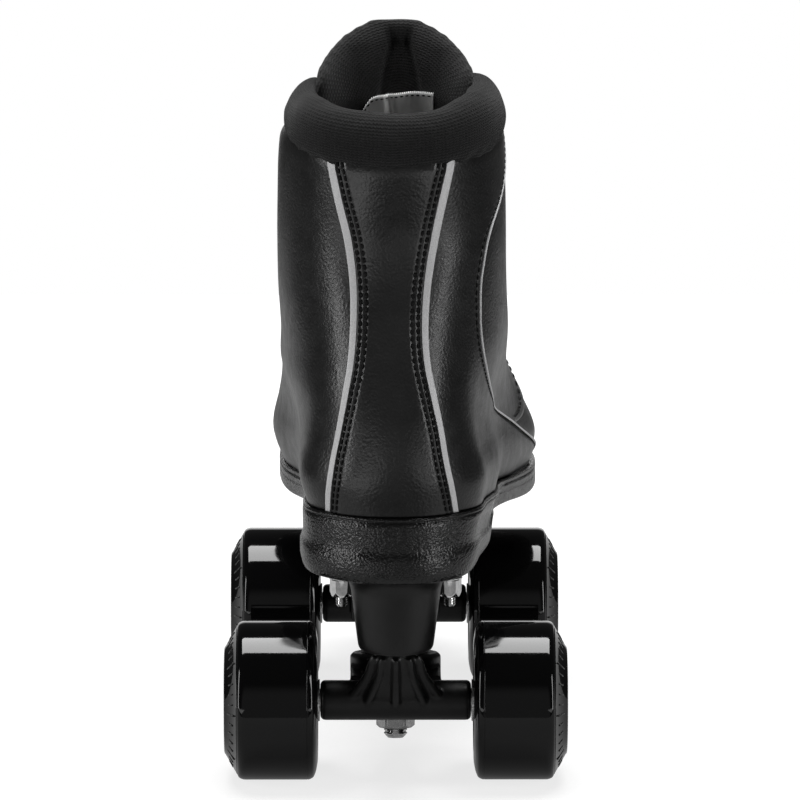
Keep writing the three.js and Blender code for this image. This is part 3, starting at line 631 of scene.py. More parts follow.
def set_cloth_lengths(piece, lengths):
    """Stores millimetres along and across the cloth for the knit and weave materials."""
    store = piece.data.attributes.new("knit", "FLOAT_VECTOR", "POINT")
    values = np.zeros((len(piece.data.vertices), 3))
    values[:, :2] = lengths
    store.data.foreach_set("vector", values.astype(np.float32).ravel())


# ---- Upper panels ----
BACKSTAY_OUTER_EDGE = [0.37, 0.315, 0.3, 0.29, 0.26, 0.215, 0.205, 0.23, 0.29, 0.365, 0.46]
BACKSTAY_INNER_EDGE = [0.415, 0.365, 0.36, 0.34, 0.305, 0.27, 0.255, 0.265, 0.31, 0.405, 0.51]
OUTER_SEAM_EDGE = [2.0, 1.72, 1.44, 1.126, 0.95, 0.82, 0.776, 0.785, 0.955, 1.5, 1.9]
INNER_SEAM_EDGE = [2.3, 2.25, 2.2, 2.12, 2.03, 1.96, 1.94, 1.98, 2.08, 2.24, 2.38]
THROAT_EDGE = 2.8
THROAT_LEVEL = 0.42
MM_PER_LEVEL = 125.0  # about, between the sole and the collar
STRIPE_WIDTH = 2.1
STRIPE_FLARE = 0.8  # added towards the top
EDGE_ROUNDING = [(0, 1.1), (0.12, 0.62), (0.4, 0.24), (0.8, 0.05), (1.2, 0)]


def backstay_edge(side):
    table = BACKSTAY_OUTER_EDGE if side > 0 else BACKSTAY_INNER_EDGE
    return lambda level: side * along(table, level)


def seam_edge(side):
    table = OUTER_SEAM_EDGE if side > 0 else INNER_SEAM_EDGE
    return lambda level: side * along(table, level)


def throat_edge(side):
    return lambda level: side * THROAT_EDGE + 0 * np.asarray(level, float)


def shifted(edge, millimetres):
    """The edge moved along the surface, towards larger turns if positive."""
    return lambda level: edge(level) + millimetres * turn_per_mm(edge(level), level)


def seam_marks(rows):
    """Columns that sink the leather along rows of stitches at these distances from the edge."""
    marks = []
    for distance in rows:
        marks += [(distance - 0.75, 0), (distance - 0.4, 0.2), (distance, 0.32), (distance + 0.4, 0.2),
                  (distance + 0.75, 0)]
    return marks


def soft_dents(points):
    """Slow unevenness of hand-lasted leather, in millimetres."""
    x, y, z = (points[..., k] for k in range(3))
    return (0.28 * np.sin(z / 13 + y / 21 + x / 17) + 0.2 * np.sin(z / 7.3 - x / 9 + 1.3)
            + 0.16 * np.sin(y / 8.1 + z / 19 + 0.7))


def tucked(level):
    """How far the leather turns in under the padded roll at its top edge."""
    return 2.0 * np.clip((np.asarray(level, float) - 0.955) / 0.045, 0, 1) ** 2


def panel(name, left, right, low, high, lift, thickness, left_marks=(), right_marks=(), rows=110, middle=26,
          low_edge=None):
    """A leather panel between two edges; marks are (distance from the edge, how far the surface sinks there).
    low_edge gives the level of the panel's foot for each share of the way across, with a rounded foot."""
    levels = np.linspace(low, high, rows)
    turns, sinks = [], []
    for distance, sink in left_marks:
        turns.append(shifted(left, distance)(levels))
        sinks.append(sink)
    start = turns[-1] if turns else left(levels)
    ends = [(shifted(right, -distance)(levels), sink) for distance, sink in reversed(right_marks)]
    stop = ends[0][0] if ends else right(levels)
    inner_columns = np.linspace(0, 1, middle)
    if turns:
        inner_columns = inner_columns[1:]
    if ends:
        inner_columns = inner_columns[:-1]
    for share in inner_columns:
        turns.append(mix(start, stop, share))
        sinks.append(0)
    for turn, sink in ends:
        turns.append(turn)
        sinks.append(sink)
    turn_grid = np.stack(turns, 1)
    level_grid = np.repeat(levels[:, None], turn_grid.shape[1], 1)
    sink = np.repeat(np.array(sinks, float)[None, :], rows, 0)
    if low_edge:
        turn_grid, level_grid, sink = footed(turn_grid, levels, sink, low_edge)
    base = boot_surface(turn_grid, level_grid)
    depth = soft_dents(base) - lift + tucked(level_grid)
    outer = boot_point(turn_grid, level_grid, depth + np.minimum(sink, thickness * 0.8))
    inner = boot_point(turn_grid, level_grid, depth + thickness)
    points, faces = sheet_geometry(outer, inner)
    return mesh_object(name, points, faces)


def footed(turn_grid, levels, sink, low_edge):
    """Raises the foot of each column to its own level and adds rows that round the foot's edge."""
    share = np.linspace(0, 1, turn_grid.shape[1])
    foot = low_edge(share)
    rise = [distance / MM_PER_LEVEL for distance, _ in EDGE_ROUNDING]
    body = np.linspace(0, 1, len(levels))[1:]
    rows = [foot + step for step in rise]
    rows += [mix(foot + rise[-1], levels[-1], t) for t in body]
    level_grid = np.stack(rows)
    columns = [np.interp(level_grid[:, j], levels, turn_grid[:, j]) for j in range(turn_grid.shape[1])]
    edge_sink = np.concatenate([[amount for _, amount in EDGE_ROUNDING], np.zeros(len(body))])
    return np.stack(columns, 1), level_grid, np.maximum(sink[0][None, :], edge_sink[:, None])


def surface_line(edge, low, high, lift, count=240):
    """Points and normals on the leather along an edge."""
    levels = np.linspace(low, high, count)
    turns = edge(levels)
    base = boot_surface(turns, levels)
    return boot_point(turns, levels, soft_dents(base) - lift + tucked(levels)), boot_normal(turns, levels)


def stripe_side(side, way):
    """One side of the stripe: way is -1 for the side next to the backstay and +1 for the other."""
    edge = backstay_edge(side)

    def turn(level):
        width = STRIPE_WIDTH + STRIPE_FLARE * ease(level, 0.55, 1)
        return edge(level) + way * side * width / 2 * turn_per_mm(edge(level), level)
    return turn


def make_upper():
    stitched = EDGE_ROUNDING + seam_marks([1.7, 3.5])
    backstay = panel("backstay_panel", stripe_side(-1, -1), stripe_side(1, -1), 0, 1, 1.0, 1.8,
                     stitched, stitched)
    finish_piece(backstay, LEATHER, "boot", ["backstay"])
    for side, word in ((1, "lateral"), (-1, "medial")):
        make_side(side, word)
    vamp = panel("vamp_panel", shifted(seam_edge(1), -2), vamp_medial_edge, 0, 0.45, -0.9, 1.6,
                 rows=70, middle=100)
    finish_piece(vamp, LEATHER, "boot", ["vamp"])


def vamp_medial_edge(level):
    return TAU - along(INNER_SEAM_EDGE, level) + 0.04


def ordered(side, near, far):
    """Two edges in the order of growing turn."""
    return (near, far) if side > 0 else (far, near)


def facing_foot(side):
    """The facing's lower edge: low beside the quarter, rising to the throat."""
    def level(share):
        forward = share if side > 0 else 1 - share
        return 0.16 + (THROAT_LEVEL - 0.16) * ease(forward, 0.05, 0.95)
    return level


def make_side(side, word):
    back = shifted(backstay_edge(side), -side * 2.5)
    seam = seam_edge(side)
    quarter_edges = ordered(side, back, seam)
    rounded_edge = EDGE_ROUNDING + seam_marks([2.2])
    marks = ([], rounded_edge) if side > 0 else (rounded_edge, [])
    quarter = panel(f"quarter_{word}_panel", *quarter_edges, 0, 1, 0.0, 2.0, *marks, rows=150, middle=40)
    finish_piece(quarter, LEATHER, "boot", [f"quarter_{word}"])

    facing_edges = ordered(side, shifted(seam, -side * 2), throat_edge(side))
    throat = EDGE_ROUNDING + seam_marks([2.4])
    marks = ([], throat) if side > 0 else (throat, [])
    facing = panel(f"facing_{word}_panel", *facing_edges, 0.1, 1, -0.25, 2.2, *marks, rows=120, middle=40,
                   low_edge=facing_foot(side))
    finish_piece(facing, LEATHER, "boot", [f"facing_{word}"])

    stripe_edges = ordered(side, shifted(backstay_edge(side), -side * 2.2), stripe_side(side, 1))
    stripe = panel(f"stripe_{word}", *stripe_edges, 0, 1, 0.45, 0.8, middle=6)
    finish_piece(stripe, STRIPE, "boot")

    threads = []
    for distance in (1.7, 3.5):
        row = surface_line(shifted(stripe_side(side, -1), -side * distance), 0.012, 0.985, 0.72)
        threads.append(stitch_row(*row, pitch=2.35, length=1.9, width=0.95, height=0.6))
    seam_row = surface_line(shifted(seam, -side * 2.2), 0.03, 0.97, -0.25)
    threads.append(stitch_row(*seam_row, pitch=2.6, length=1.9, width=0.6))
    throat = shifted(throat_edge(side), -side * 2.4)
    threads.append(stitch_row(*surface_line(throat, THROAT_LEVEL + 0.03, 0.98, -0.5)))
    threads.append(stitch_row(*low_seam_line(side)))
    seams = mesh_object(f"stitching_{word}", *joined(threads))
    finish_piece(seams, THREAD, "boot")

    line, normals = surface_line(shifted(seam, side * 0.35), 0.0, 0.985, -0.15)
    piping = mesh_object(f"piping_{word}", *tube_geometry(line, normals, ellipse(0.42, 0.5, 10)))
    finish_piece(piping, STRIPE, "boot")


def low_seam_line(side):
    """Where the facing is sewn to the vamp, 2.4 mm above the facing's foot."""
    share = np.linspace(0.06, 0.97, 140)
    levels = facing_foot(1)(share) + 2.4 / MM_PER_LEVEL
    near = np.abs(seam_edge(side)(levels))
    turns = side * mix(near, THROAT_EDGE, share)
    base = boot_surface(turns, levels)
    return boot_point(turns, levels, soft_dents(base) + 0.3), boot_normal(turns, levels)


make_upper()


# ---- Lining and insole ----
def make_lining():
    linings = (("lining_lower", 0.04, 0.44, math.pi - 0.001), ("lining_upper", 0.4, 1.0, 2.72))
    for name, low, high, limit in linings:
        levels = np.linspace(low, high, 50)
        turns = np.linspace(-limit, limit, 120)
        turn_grid, level_grid = np.meshgrid(turns, levels)
        outer = boot_point(turn_grid, level_grid, np.full(turn_grid.shape, 2.9))
        inner = boot_point(turn_grid, level_grid, np.full(turn_grid.shape, 3.6))
        lining = mesh_object(name, *sheet_geometry(outer, inner))
        lengths = np.stack([turn_grid * 36, level_grid * MM_PER_LEVEL], -1).reshape(-1, 2)
        finish_piece(lining, LINING, "boot")
        set_cloth_lengths(lining, np.concatenate([lengths, lengths]))


def make_insole():
    rows, columns = 90, 30
    turns = np.linspace(0.45, math.pi - 0.42, rows)
    s = SOLE_LENGTH * (1 - np.cos(turns)) / 2
    left = -sole_breadth(False, turns) * 0.89 + 3.2
    right = sole_breadth(True, turns) * 0.89 - 3.2
    share = np.linspace(0, 1, columns)
    x = left[:, None] + (right - left)[:, None] * share[None, :]
    y = HEEL_BACK_Y + np.repeat(s[:, None], columns, 1)
    cup = 1.6 * np.abs(2 * share - 1) ** 4
    top = np.stack([x, y, sole_top(s)[:, None] + 3.0 + cup[None, :]], -1)
    base = np.stack([x, y, sole_top(s)[:, None] + 0.3 + 0 * cup[None, :]], -1)
    insole = mesh_object("insole_pad", *sheet_geometry(top, base))
    finish_piece(insole, INSOLE, "boot", ["insole"], bevel=0.8)
    lengths = np.stack([x, y], -1).reshape(-1, 2)
    set_cloth_lengths(insole, np.concatenate([lengths, lengths]))


make_lining()
make_insole()


# ---- Outsole ----
SOLE_SECTION = [
    # outward, share of the height above the underside, then millimetres above that
    (-6, 1, 0), (-1.5, 1, 0), (-0.7, 1, -0.1), (-0.25, 1, -0.4), (-0.1, 1, -0.8), (-0.15, 1, -1.1),
    (-0.5, 1, -1.3), (-0.5, 1, -1.6), (-0.1, 1, -1.9), (0, 0.84, 0), (-0.05, 0.7, 0), (-0.1, 0.57, 0),
    (-0.1, 0.51, 0), (0, 0.475, 0), (0.25, 0.44, 0), (0.6, 0.4, 0), (0.85, 0.36, 0), (0.9, 0.28, 0),
    (0.85, 0.17, 0), (0.45, 0.085, 0), (-0.1, 0.03, 0), (-0.9, 0.0, 0), (-3, 0, 0), (-8, 0, 0)]


def sole_ring(outward, share, rise, count=260):
    turn = np.arange(count) * TAU / count + 0.003
    is_outer = turn < math.pi
    half = np.where(is_outer, turn, TAU - turn)
    s = SOLE_LENGTH * (1 - np.cos(half)) / 2
    breadth = sole_breadth(is_outer, half)
    flat = np.stack([np.where(is_outer, breadth, -breadth), HEEL_BACK_Y + s], -1)
    tangent = unit(np.roll(flat, -1, 0) - np.roll(flat, 1, 0))
    normal = np.stack([tangent[:, 1], -tangent[:, 0]], -1)
    heel = 1 - ease(s, 58, 88)
    proud = outward if outward < -0.75 else mix(-0.1 if outward < 0 else 0.0, outward, heel)
    waist = np.where(is_outer, ease(s, 2, 24) * (1 - ease(s, 78, 112)), 0)
    proud = proud - 3.3 * waist * (1 - share) ** 0.7
    spot = flat + normal * proud[:, None]
    reach = np.clip(spot[:, 1] - HEEL_BACK_Y, 0, SOLE_LENGTH)
    top, base = sole_top(reach), sole_underside(reach)
    height = np.clip(rise, -0.3 * (top - base), 0)
    return np.stack([spot[:, 0], spot[:, 1], base + share * (top - base) + height], -1)


def make_outsole():
    rings = [sole_ring(*entry) for entry in SOLE_SECTION]
    count = len(rings[0])
    faces = grid_faces(len(rings), count, close_columns=True)
    points = np.concatenate(rings)
    faces += folded_cap(0, count) + folded_cap((len(rings) - 1) * count, count)
    outsole = mesh_object("outsole_unit", points, faces)
    finish_piece(outsole, SOLE, "boot", ["outsole"])


make_outsole()


# ---- Collar and tongue ----
COLLAR_END = 2.42


def collar_frame(turn):
    """For each turn: the roll's centre, inward direction, half height, half thickness and inward lean.
    The roll hangs over the leather's edge at the back and less so round the sides."""
    front = ease(np.abs(turn), 1.1, COLLAR_END)
    hang = 1 - ease(np.abs(turn), 1.3, 2.1)
    proud = 1 - ease(np.abs(turn), 0.9, 1.6)
    top = mix(13.0, 16.1, 1 - ease(np.abs(turn), 0.9, 1.7)) + 2.4 * ease(np.sin(turn), 0.3, 0.9) - 1.2 * front
    bottom = mix(-1.0, -6.1, hang) + 0.8 * front
    half_thickness = mix(6.4, 3.6, front) + 0.4 * proud
    ones = np.ones_like(turn)
    inward = boot_point(turn, ones, ones) - boot_point(turn, ones)
    inward[:, 2] = 0
    inward = unit(inward)
    outside = 0.4 + 1.5 * proud - 0.9 * ease(-np.sin(turn), 0.5, 1)
    centre = boot_point(turn, ones, -outside) + inward * half_thickness[:, None]
    centre[:, 2] += (top + bottom) / 2
    lean = 0.3 * ease(np.abs(turn), 0.8, 1.5)
    return centre, inward, (top - bottom) / 2, half_thickness, lean


def soften(value, power):
    return np.sign(value) * np.abs(value) ** power


def collar_geometry():
    stations, around = 190, 48
    turn = np.linspace(-COLLAR_END, COLLAR_END, stations)
    centre, inward, half_height, half_thickness, lean = collar_frame(turn)
    angle = np.arange(around) * TAU / around
    across, upward = soften(np.cos(angle), 0.9), soften(np.sin(angle), 0.9)
    end = np.clip((COLLAR_END - np.abs(turn)) / 0.2, 0, 1)
    cap = np.sqrt(np.maximum(1 - (1 - end) ** 2, 0.02))
    sideways = -half_thickness[:, None] * across[None, :] * cap[:, None]
    height = half_height[:, None] * upward[None, :] * cap[:, None]
    sideways = sideways + lean[:, None] * np.maximum(height, 0)
    grid = centre[:, None] + inward[:, None] * sideways[..., None]
    grid[..., 2] += height
    faces = grid_faces(stations, around, close_columns=True)
    faces += end_faces(stations, around)
    return grid.reshape(-1, 3), faces


TONGUE_FROM = 0.36
TONGUE_SHIFT = 0.9
TONGUE_TOP_Z = 253.2
TONGUE_DOME = 29.5
TONGUE_HALF_WIDTH = 30.2
TONGUE_HALF_THICKNESS = 3.5
TONGUE_DEPTH = 9.6
TONGUE_LEAN = 0.12


def tongue_turn(half_width, level):
    """The turn from the front at which the pad's middle surface is this far from the middle plane."""
    turns = np.linspace(0, 1.25, 60)
    reach = boot_point(math.pi - turns, np.full(60, level), np.full(60, TONGUE_DEPTH))[:, 0]
    return np.interp(half_width, np.maximum.accumulate(reach - reach[0]), turns)


def tongue_geometry():
    """Closed rings up the pad; above the upper's edge the rings shrink along a dome."""
    around = 64
    angle = np.arange(around) * TAU / around
    across, through = soften(np.cos(angle), 0.42), soften(np.sin(angle), 0.85)
    rings = []
    stem = [(level, 0.0, 1.0) for level in np.linspace(TONGUE_FROM, 1, 56)]
    dome = [(1.0, math.sin(a), math.cos(a)) for a in np.linspace(0, math.pi / 2 - 0.06, 34)[1:]]
    base_z = TONGUE_TOP_Z - TONGUE_DOME
    for level, over, narrow in stem + dome:
        half_turn = float(tongue_turn(TONGUE_HALF_WIDTH * narrow, level))
        thick = TONGUE_HALF_THICKNESS * (0.35 + 0.65 * float(ease(level, TONGUE_FROM, TONGUE_FROM + 0.12)))
        thick *= max(narrow, 0.02) ** 0.45
        turn = math.pi - across * half_turn
        ring = boot_point(turn, np.full(around, level), TONGUE_DEPTH - through * thick)
        ring[:, 0] += TONGUE_SHIFT * float(ease(level, 0.6, 1))
        lean = TONGUE_LEAN * over * TONGUE_DOME
        settle = float(ease(level, 0.9, 1)) * (base_z - ring[:, 2]) * 0.85
        ring[:, 2] += settle + over * TONGUE_DOME
        ring[:, 1] += lean
        rings.append(ring)
    faces = grid_faces(len(rings), around, close_columns=True)
    faces += end_faces(len(rings), around)
    return np.concatenate(rings), faces


def applied(piece):
    """The piece with its modifiers applied."""
    bpy.context.view_layer.update()
    graph = bpy.context.evaluated_depsgraph_get()
    mesh = bpy.data.meshes.new_from_object(piece.evaluated_get(graph))
    piece.modifiers.clear()
    old = piece.data
    piece.data = mesh
    bpy.data.meshes.remove(old)
    return piece


def remeshed(piece, voxel_mm):
    grid = piece.modifiers.new("grid", "REMESH")
    grid.mode = "VOXEL"
    grid.voxel_size = voxel_mm * MM
    grid.use_smooth_shade = True
    return applied(piece)


def smoothed(piece, factor, repeats):
    soft = piece.modifiers.new("soft", "SMOOTH")
    soft.factor = factor
    soft.iterations = repeats
    return applied(piece)


def subdivided(piece):
    finer = piece.modifiers.new("finer", "SUBSURF")
    finer.levels = finer.render_levels = 1
    return applied(piece)


def puffed(piece, voxel_mm, pressure, cap_mm):
    """Inflates a pad with the cloth solver, and caps how far each point may move."""
    remeshed(piece, voxel_mm)
    rest = np.array([v.co for v in piece.data.vertices])
    cloth = piece.modifiers.new("cloth", "CLOTH")
    cloth.settings.use_pressure = True
    cloth.settings.uniform_pressure_force = pressure
    cloth.settings.quality = 5
    cloth.settings.effector_weights.gravity = 0
    cloth.point_cache.frame_start = 1
    cloth.point_cache.frame_end = 20
    for step in range(1, 21):
        bpy.context.scene.frame_set(step)
    applied(piece)
    bpy.context.scene.frame_set(1)
    now = np.array([v.co for v in piece.data.vertices])
    move = now - rest
    size = np.linalg.norm(move, axis=1, keepdims=True)
    now = rest + move * np.minimum(1, cap_mm * MM / np.maximum(size, 1e-12))
    piece.data.vertices.foreach_set("co", now.ravel())
    return subdivided(piece)


def relaxed(piece, voxel_mm, pressure, cap_mm):
    """A soft pad ready for its knit: inflated, eased and refined."""
    puffed(piece, voxel_mm, pressure, cap_mm)
    smoothed(piece, 0.5, 18)
    return subdivided(piece)


def points_of(piece):
    return np.array([v.co for v in piece.data.vertices]) / MM


def set_points(piece, points):
    piece.data.vertices.foreach_set("co", (points * MM).ravel())
    piece.data.update()


def make_collar():
    collar = mesh_object("collar_padding", *collar_geometry())
    relaxed(collar, 2.2, 3.0, 0.8)
    points = points_of(collar)
    turn = np.linspace(-COLLAR_END, COLLAR_END, 400)
    centre, inward, *_ = collar_frame(turn)
    run = run_along(centre)
    nearest = np.argmin(((points[:, None, :2] - centre[None, :, :2]) ** 2).sum(-1), axis=1)
    offset = points - centre[nearest]
    sideways = np.sum(offset * inward[nearest], -1)
    angle = np.arctan2(offset[:, 2], -sideways)
    wave = 0.45 * np.sin(run[nearest] / 6.5) * np.sin(run[nearest] / 15 + 1) * ease(offset[:, 2], -9, 4)
    tuck = 0.7 * np.exp(-((offset[:, 2] + 7.5) / 1.6) ** 2) * (1 + np.sin(run[nearest] / 1.3)) / 2
    set_points(collar, points + unit(offset) * (wave - tuck)[:, None])
    finish_piece(collar, KNIT, "boot", ["collar"])
    set_cloth_lengths(collar, np.stack([run[nearest], angle * 8], -1))


CHANNEL_X = 1.6


def make_tongue():
    tongue = mesh_object("tongue_padding", *tongue_geometry())
    relaxed(tongue, 2.2, 3.0, 1.0)
    points = points_of(tongue)
    x, y, z = points.T
    front_y = float(boot_point(np.array(math.pi), np.array(1.0), np.array(TONGUE_DEPTH))[1])
    middle_y = front_y + TONGUE_LEAN * np.clip(z - (TONGUE_TOP_Z - TONGUE_DOME), 0, TONGUE_DOME)
    aside = np.abs(x - CHANNEL_X)
    width = mix(6.6, 3.4, ease(z, 224, 246))
    trough = 1 - ease(aside, width - 1.4, width + 1.8)
    crease = np.exp(-((aside - width) / 1.3) ** 2)
    facing_back = ease(middle_y - y, -1.5, 2.5)
    fade = ease(z, 200, 218) * (1 - ease(z, 242, 250))
    points[:, 1] += (2.2 * trough + 1.5 * crease) * facing_back * fade
    swell = np.exp(-((aside - 12) / 5) ** 2) * facing_back * fade
    points[:, 1] -= 0.9 * swell
    set_points(tongue, points)
    finish_piece(tongue, TONGUE_KNIT, "boot", ["tongue"])
    across, up = x - CHANNEL_X, (z - 222) * 1.05
    above = ease(z, 216, 226)
    rows = mix(up, np.hypot(across, np.maximum(up, 0)), above)
    fanned = np.arctan2(across, np.maximum(up, 0.1)) * 20
    set_cloth_lengths(tongue, np.stack([mix(across, fanned, above), rows], -1))


make_collar()
make_tongue()


# ---- Lace and eyelets ----
EYELET_PAIRS = 7
EYELET_TURN = 0.5
EYELET_FIRST = 0.47
EYELET_LAST = 0.93


def eyelet_level(i):
    return mix(EYELET_FIRST, EYELET_LAST, i / (EYELET_PAIRS - 1))


def lace_half(side, crossing):
    stops = []
    for i in range(EYELET_PAIRS):
        here = side if i % 2 == 0 else -side
        level = eyelet_level(i)
        stops += [(here * 0.34, level, -2.1), (here * 0.45, level, -1.9), (here * EYELET_TURN, level, 1.6),
                  (here * 0.45, level, 5.1)]
        if i < EYELET_PAIRS - 1:
            stops += [(here * 0.32, mix(level, eyelet_level(i + 1), 0.22), 5.2),
                      (0, mix(level, eyelet_level(i + 1), 0.5), crossing)]
    return stops


def smooth_path(points, per_span=10):
    """A centripetal curve through the points."""
    points = [2 * points[0] - points[1], *points, 2 * points[-1] - points[-2]]
    made = []
    for p0, p1, p2, p3 in zip(points, points[1:], points[2:], points[3:]):
        t0 = 0.0
        t1 = t0 + np.linalg.norm(p1 - p0) ** 0.5
        t2 = t1 + np.linalg.norm(p2 - p1) ** 0.5
        t3 = t2 + np.linalg.norm(p3 - p2) ** 0.5
        for t in np.linspace(t1, t2, per_span, endpoint=False):
            a1 = (t1 - t) / (t1 - t0) * p0 + (t - t0) / (t1 - t0) * p1
            a2 = (t2 - t) / (t2 - t1) * p1 + (t - t1) / (t2 - t1) * p2
            a3 = (t3 - t) / (t3 - t2) * p2 + (t - t2) / (t3 - t2) * p3
            b1 = (t2 - t) / (t2 - t0) * a1 + (t - t0) / (t2 - t0) * a2
            b2 = (t3 - t) / (t3 - t1) * a2 + (t - t1) / (t3 - t1) * a3
            made.append((t2 - t) / (t2 - t1) * b1 + (t - t1) / (t2 - t1) * b2)
    made.append(points[-2])
    return np.array(made)


def make_lace():
    stops = list(reversed(lace_half(-1, -1.6))) + lace_half(1, 2.7)
    turn, level, depth = (np.array([stop[k] for stop in stops]) for k in range(3))
    points = boot_point(math.pi + turn, level, depth)
    line = smooth_path(list(points))
    tangents = unit(np.gradient(line, axis=0))
    side = np.cross(tangents, np.array([[0, 0.75, 0.66]]))
    normals = np.cross(unit(side), tangents)
    around = 14
    geometry = tube_geometry(line, normals, ellipse(1.75, 1.2, around))
    lace = mesh_object("lace_cord", *geometry)
    finish_piece(lace, LACE, "boot", ["lace"])
    run = run_along(line)
    lengths = np.stack(np.meshgrid(run, np.arange(around) * 0.6, indexing="ij"), -1).reshape(-1, 2)
    set_cloth_lengths(lace, lengths)


def make_eyelets():
    profile = rounded([(2.0, -1.6), (2.0, 0.1), (2.35, 0.7), (3.3, 0.75), (3.9, 0.3), (3.95, -0.4),
                       (3.4, -0.6)], 0.3)
    for side, word in ((1, "medial"), (-1, "lateral")):
        parts = []
        for i in range(EYELET_PAIRS):
            turn = math.pi + side * EYELET_TURN
            spot = boot_point(turn, eyelet_level(i), np.array(-0.1))
            normal = Vector(boot_normal(turn, np.array(eyelet_level(i))))
            matrix = Matrix.Translation(Vector(spot)) @ normal.to_track_quat("Z", "Y").to_matrix().to_4x4()
            parts.append(moved(lathe_geometry(profile, 32, closed=True), matrix))
        eyelets = mesh_object(f"eyelets_{word}", *joined(parts))
        finish_piece(eyelets, DARK_STEEL, "boot")


make_lace()
make_eyelets()


# ---- Label inside the tongue ----
LABEL_LEFT = -11.5
LABEL_RIGHT = 13.0
LABEL_TOP_Z = 228.0


def label_top(x):
    """The pinked upper edge, steep at its left end."""
    drop = np.interp(x, [-11.5, -10, -8.2, -6, 0, 5, 13], [-7.5, -4.6, -2.2, -1.3, -0.5, 0, -0.4])
    return LABEL_TOP_Z + drop


def label_y(x, z, back_y):
    """The cloth's waves, with one sharp fold near its middle."""
    fold = 1.7 * np.exp(-((x + 1.6 + 0.12 * (z - 222)) / 1.3) ** 2)
    curl = 1.1 * np.cos((x + 1) / 24 * TAU * 0.95) + 0.5 * np.cos(x / 3.1 + 0.6)
    return back_y - 4.0 - curl + fold - 0.008 * x * x - 0.05 * (z - 212)


def make_label():
    depth = np.array(TONGUE_DEPTH + TONGUE_HALF_THICKNESS)
    back_y = float(boot_point(np.array(math.pi), np.array(1.0), depth)[1])
    rows, columns = 26, 71
    x = np.linspace(LABEL_LEFT, LABEL_RIGHT, columns)
    teeth = 0.6 * (np.arange(columns) % 2)
    top = label_top(x) - teeth
    share = np.linspace(0, 1, rows)[:, None]
    z = mix(204.0, top[None, :], share)
    across = np.repeat(x[None, :], rows, 0)
    outer = np.stack([across, label_y(across, z, back_y), z], -1)
    label = mesh_object("care_label", *sheet_geometry(outer, outer + np.array([0, 0.3, 0])))
    finish_piece(label, LABEL, "boot")
    seam_x = np.linspace(LABEL_LEFT + 0.8, LABEL_RIGHT - 0.6, 60)
    seam_z = label_top(seam_x) - 1.5
    seam = np.stack([seam_x, label_y(seam_x, seam_z, back_y) - 0.05, seam_z], -1)
    threads = stitch_row(seam, np.tile([0.0, -1, 0], (60, 1)), pitch=1.9, length=1.2, width=0.5, height=0.25)
    finish_piece(mesh_object("label_stitching", *threads), THREAD, "boot")


make_label()


# ---- Chassis: frames and helpers ----
WHEEL_RADIUS = 27.0
WHEEL_INNER_X = 26.25
BEARING_RADIUS = 11.0
BEARING_WIDTH = 7.0
BEARING_INNER_X = 27.6
BEARING_OUTER_X = 45.5
AXLE_RADIUS = 4.0
AXLE_HALF_LENGTH = 57.8
PLATE_TOP_Z = 75.0
PLATE_BOTTOM_Z = 70.0
TUBE_RADIUS = 6.8
TUBE_HALF_LENGTH = 25.6
YOKE_CENTRE = (0, 25, 7)
YOKE_RADIUS = 15.5
YOKE_HALF_HEIGHT = 4.0
YOKE_BORE = 7.5
PIVOT_Y = -14.0
PIVOT_Z = 25.0
KINGPIN_TILT = math.radians(8)
KINGPIN_RADIUS = 4.0
KINGPIN_FOOT = -25.5
KINGPIN_HEAD = 32.0
CUSHION_SEAT = 18.3
TOWER_BOTTOM_Z = 48.0
MOUNT_BOLT_X = 18.3
TOE_STOP_Y = 108.0
TRUCKS = (("rear", REAR_AXLE_Y), ("front", FRONT_AXLE_Y))
LAID_ALONG_X = Matrix.Rotation(math.pi / 2, 4, "Y")


def in_truck(axle_y):
    """From a truck's own frame, pivot on the -Y side, to the skate's; the front truck is turned round."""
    turn = Matrix.Rotation(math.pi if axle_y > 0 else 0, 4, "Z")
    return Matrix.Translation((0, axle_y, WHEEL_RADIUS)) @ turn


def on_kingpin(axle_y):
    tilt = Matrix.Rotation(-KINGPIN_TILT, 4, "X")
    return in_truck(axle_y) @ Matrix.Translation(YOKE_CENTRE) @ tilt


def rod_geometry(radius, low, high, sides=64, chamfer=0.5):
    c = chamfer
    return lathe_geometry([(0, low), (radius - c, low), (radius, low + c), (radius, high - c),
                           (radius - c, high), (0, high)], sides)


def box_geometry(size, centre):
    half = np.array(size, float) / 2
    corners = [(x, y, z) for z in (-1, 1) for x, y in ((-1, -1), (1, -1), (1, 1), (-1, 1))]
    faces = [(3, 2, 1, 0), (4, 5, 6, 7), (0, 1, 5, 4), (1, 2, 6, 5), (2, 3, 7, 6), (3, 0, 4, 7)]
    return np.array(corners) * half + np.array(centre, float), faces


def thread_ridges(radius, depth, pitch, low, high):
    """The profile of whole thread ridges between two heights."""
    ridges = []
    while low + pitch < high:
        ridges += [(radius - depth, low), (radius, low + pitch * 0.4), (radius, low + pitch * 0.55),
                   (radius - depth, low + pitch * 0.95)]
        low += pitch
    return ridges


def threaded_geometry(radius, plain_to, thread_from, thread_to, pitch=0.8, sides=48, chamfer=0.5):
    """A rod with thread ridges over a part of its length; the thread is at the rod's lower end."""
    depth = pitch * 0.42
    root = radius - depth
    profile = [(0, thread_from), (root - chamfer, thread_from), (root, thread_from + chamfer)]
    profile += thread_ridges(radius, depth, pitch, thread_from + chamfer + 0.1, thread_to)
    profile += [(radius, thread_to), (radius, plain_to - chamfer), (radius - chamfer, plain_to),
                (0, plain_to)]
    return lathe_geometry(profile, sides)


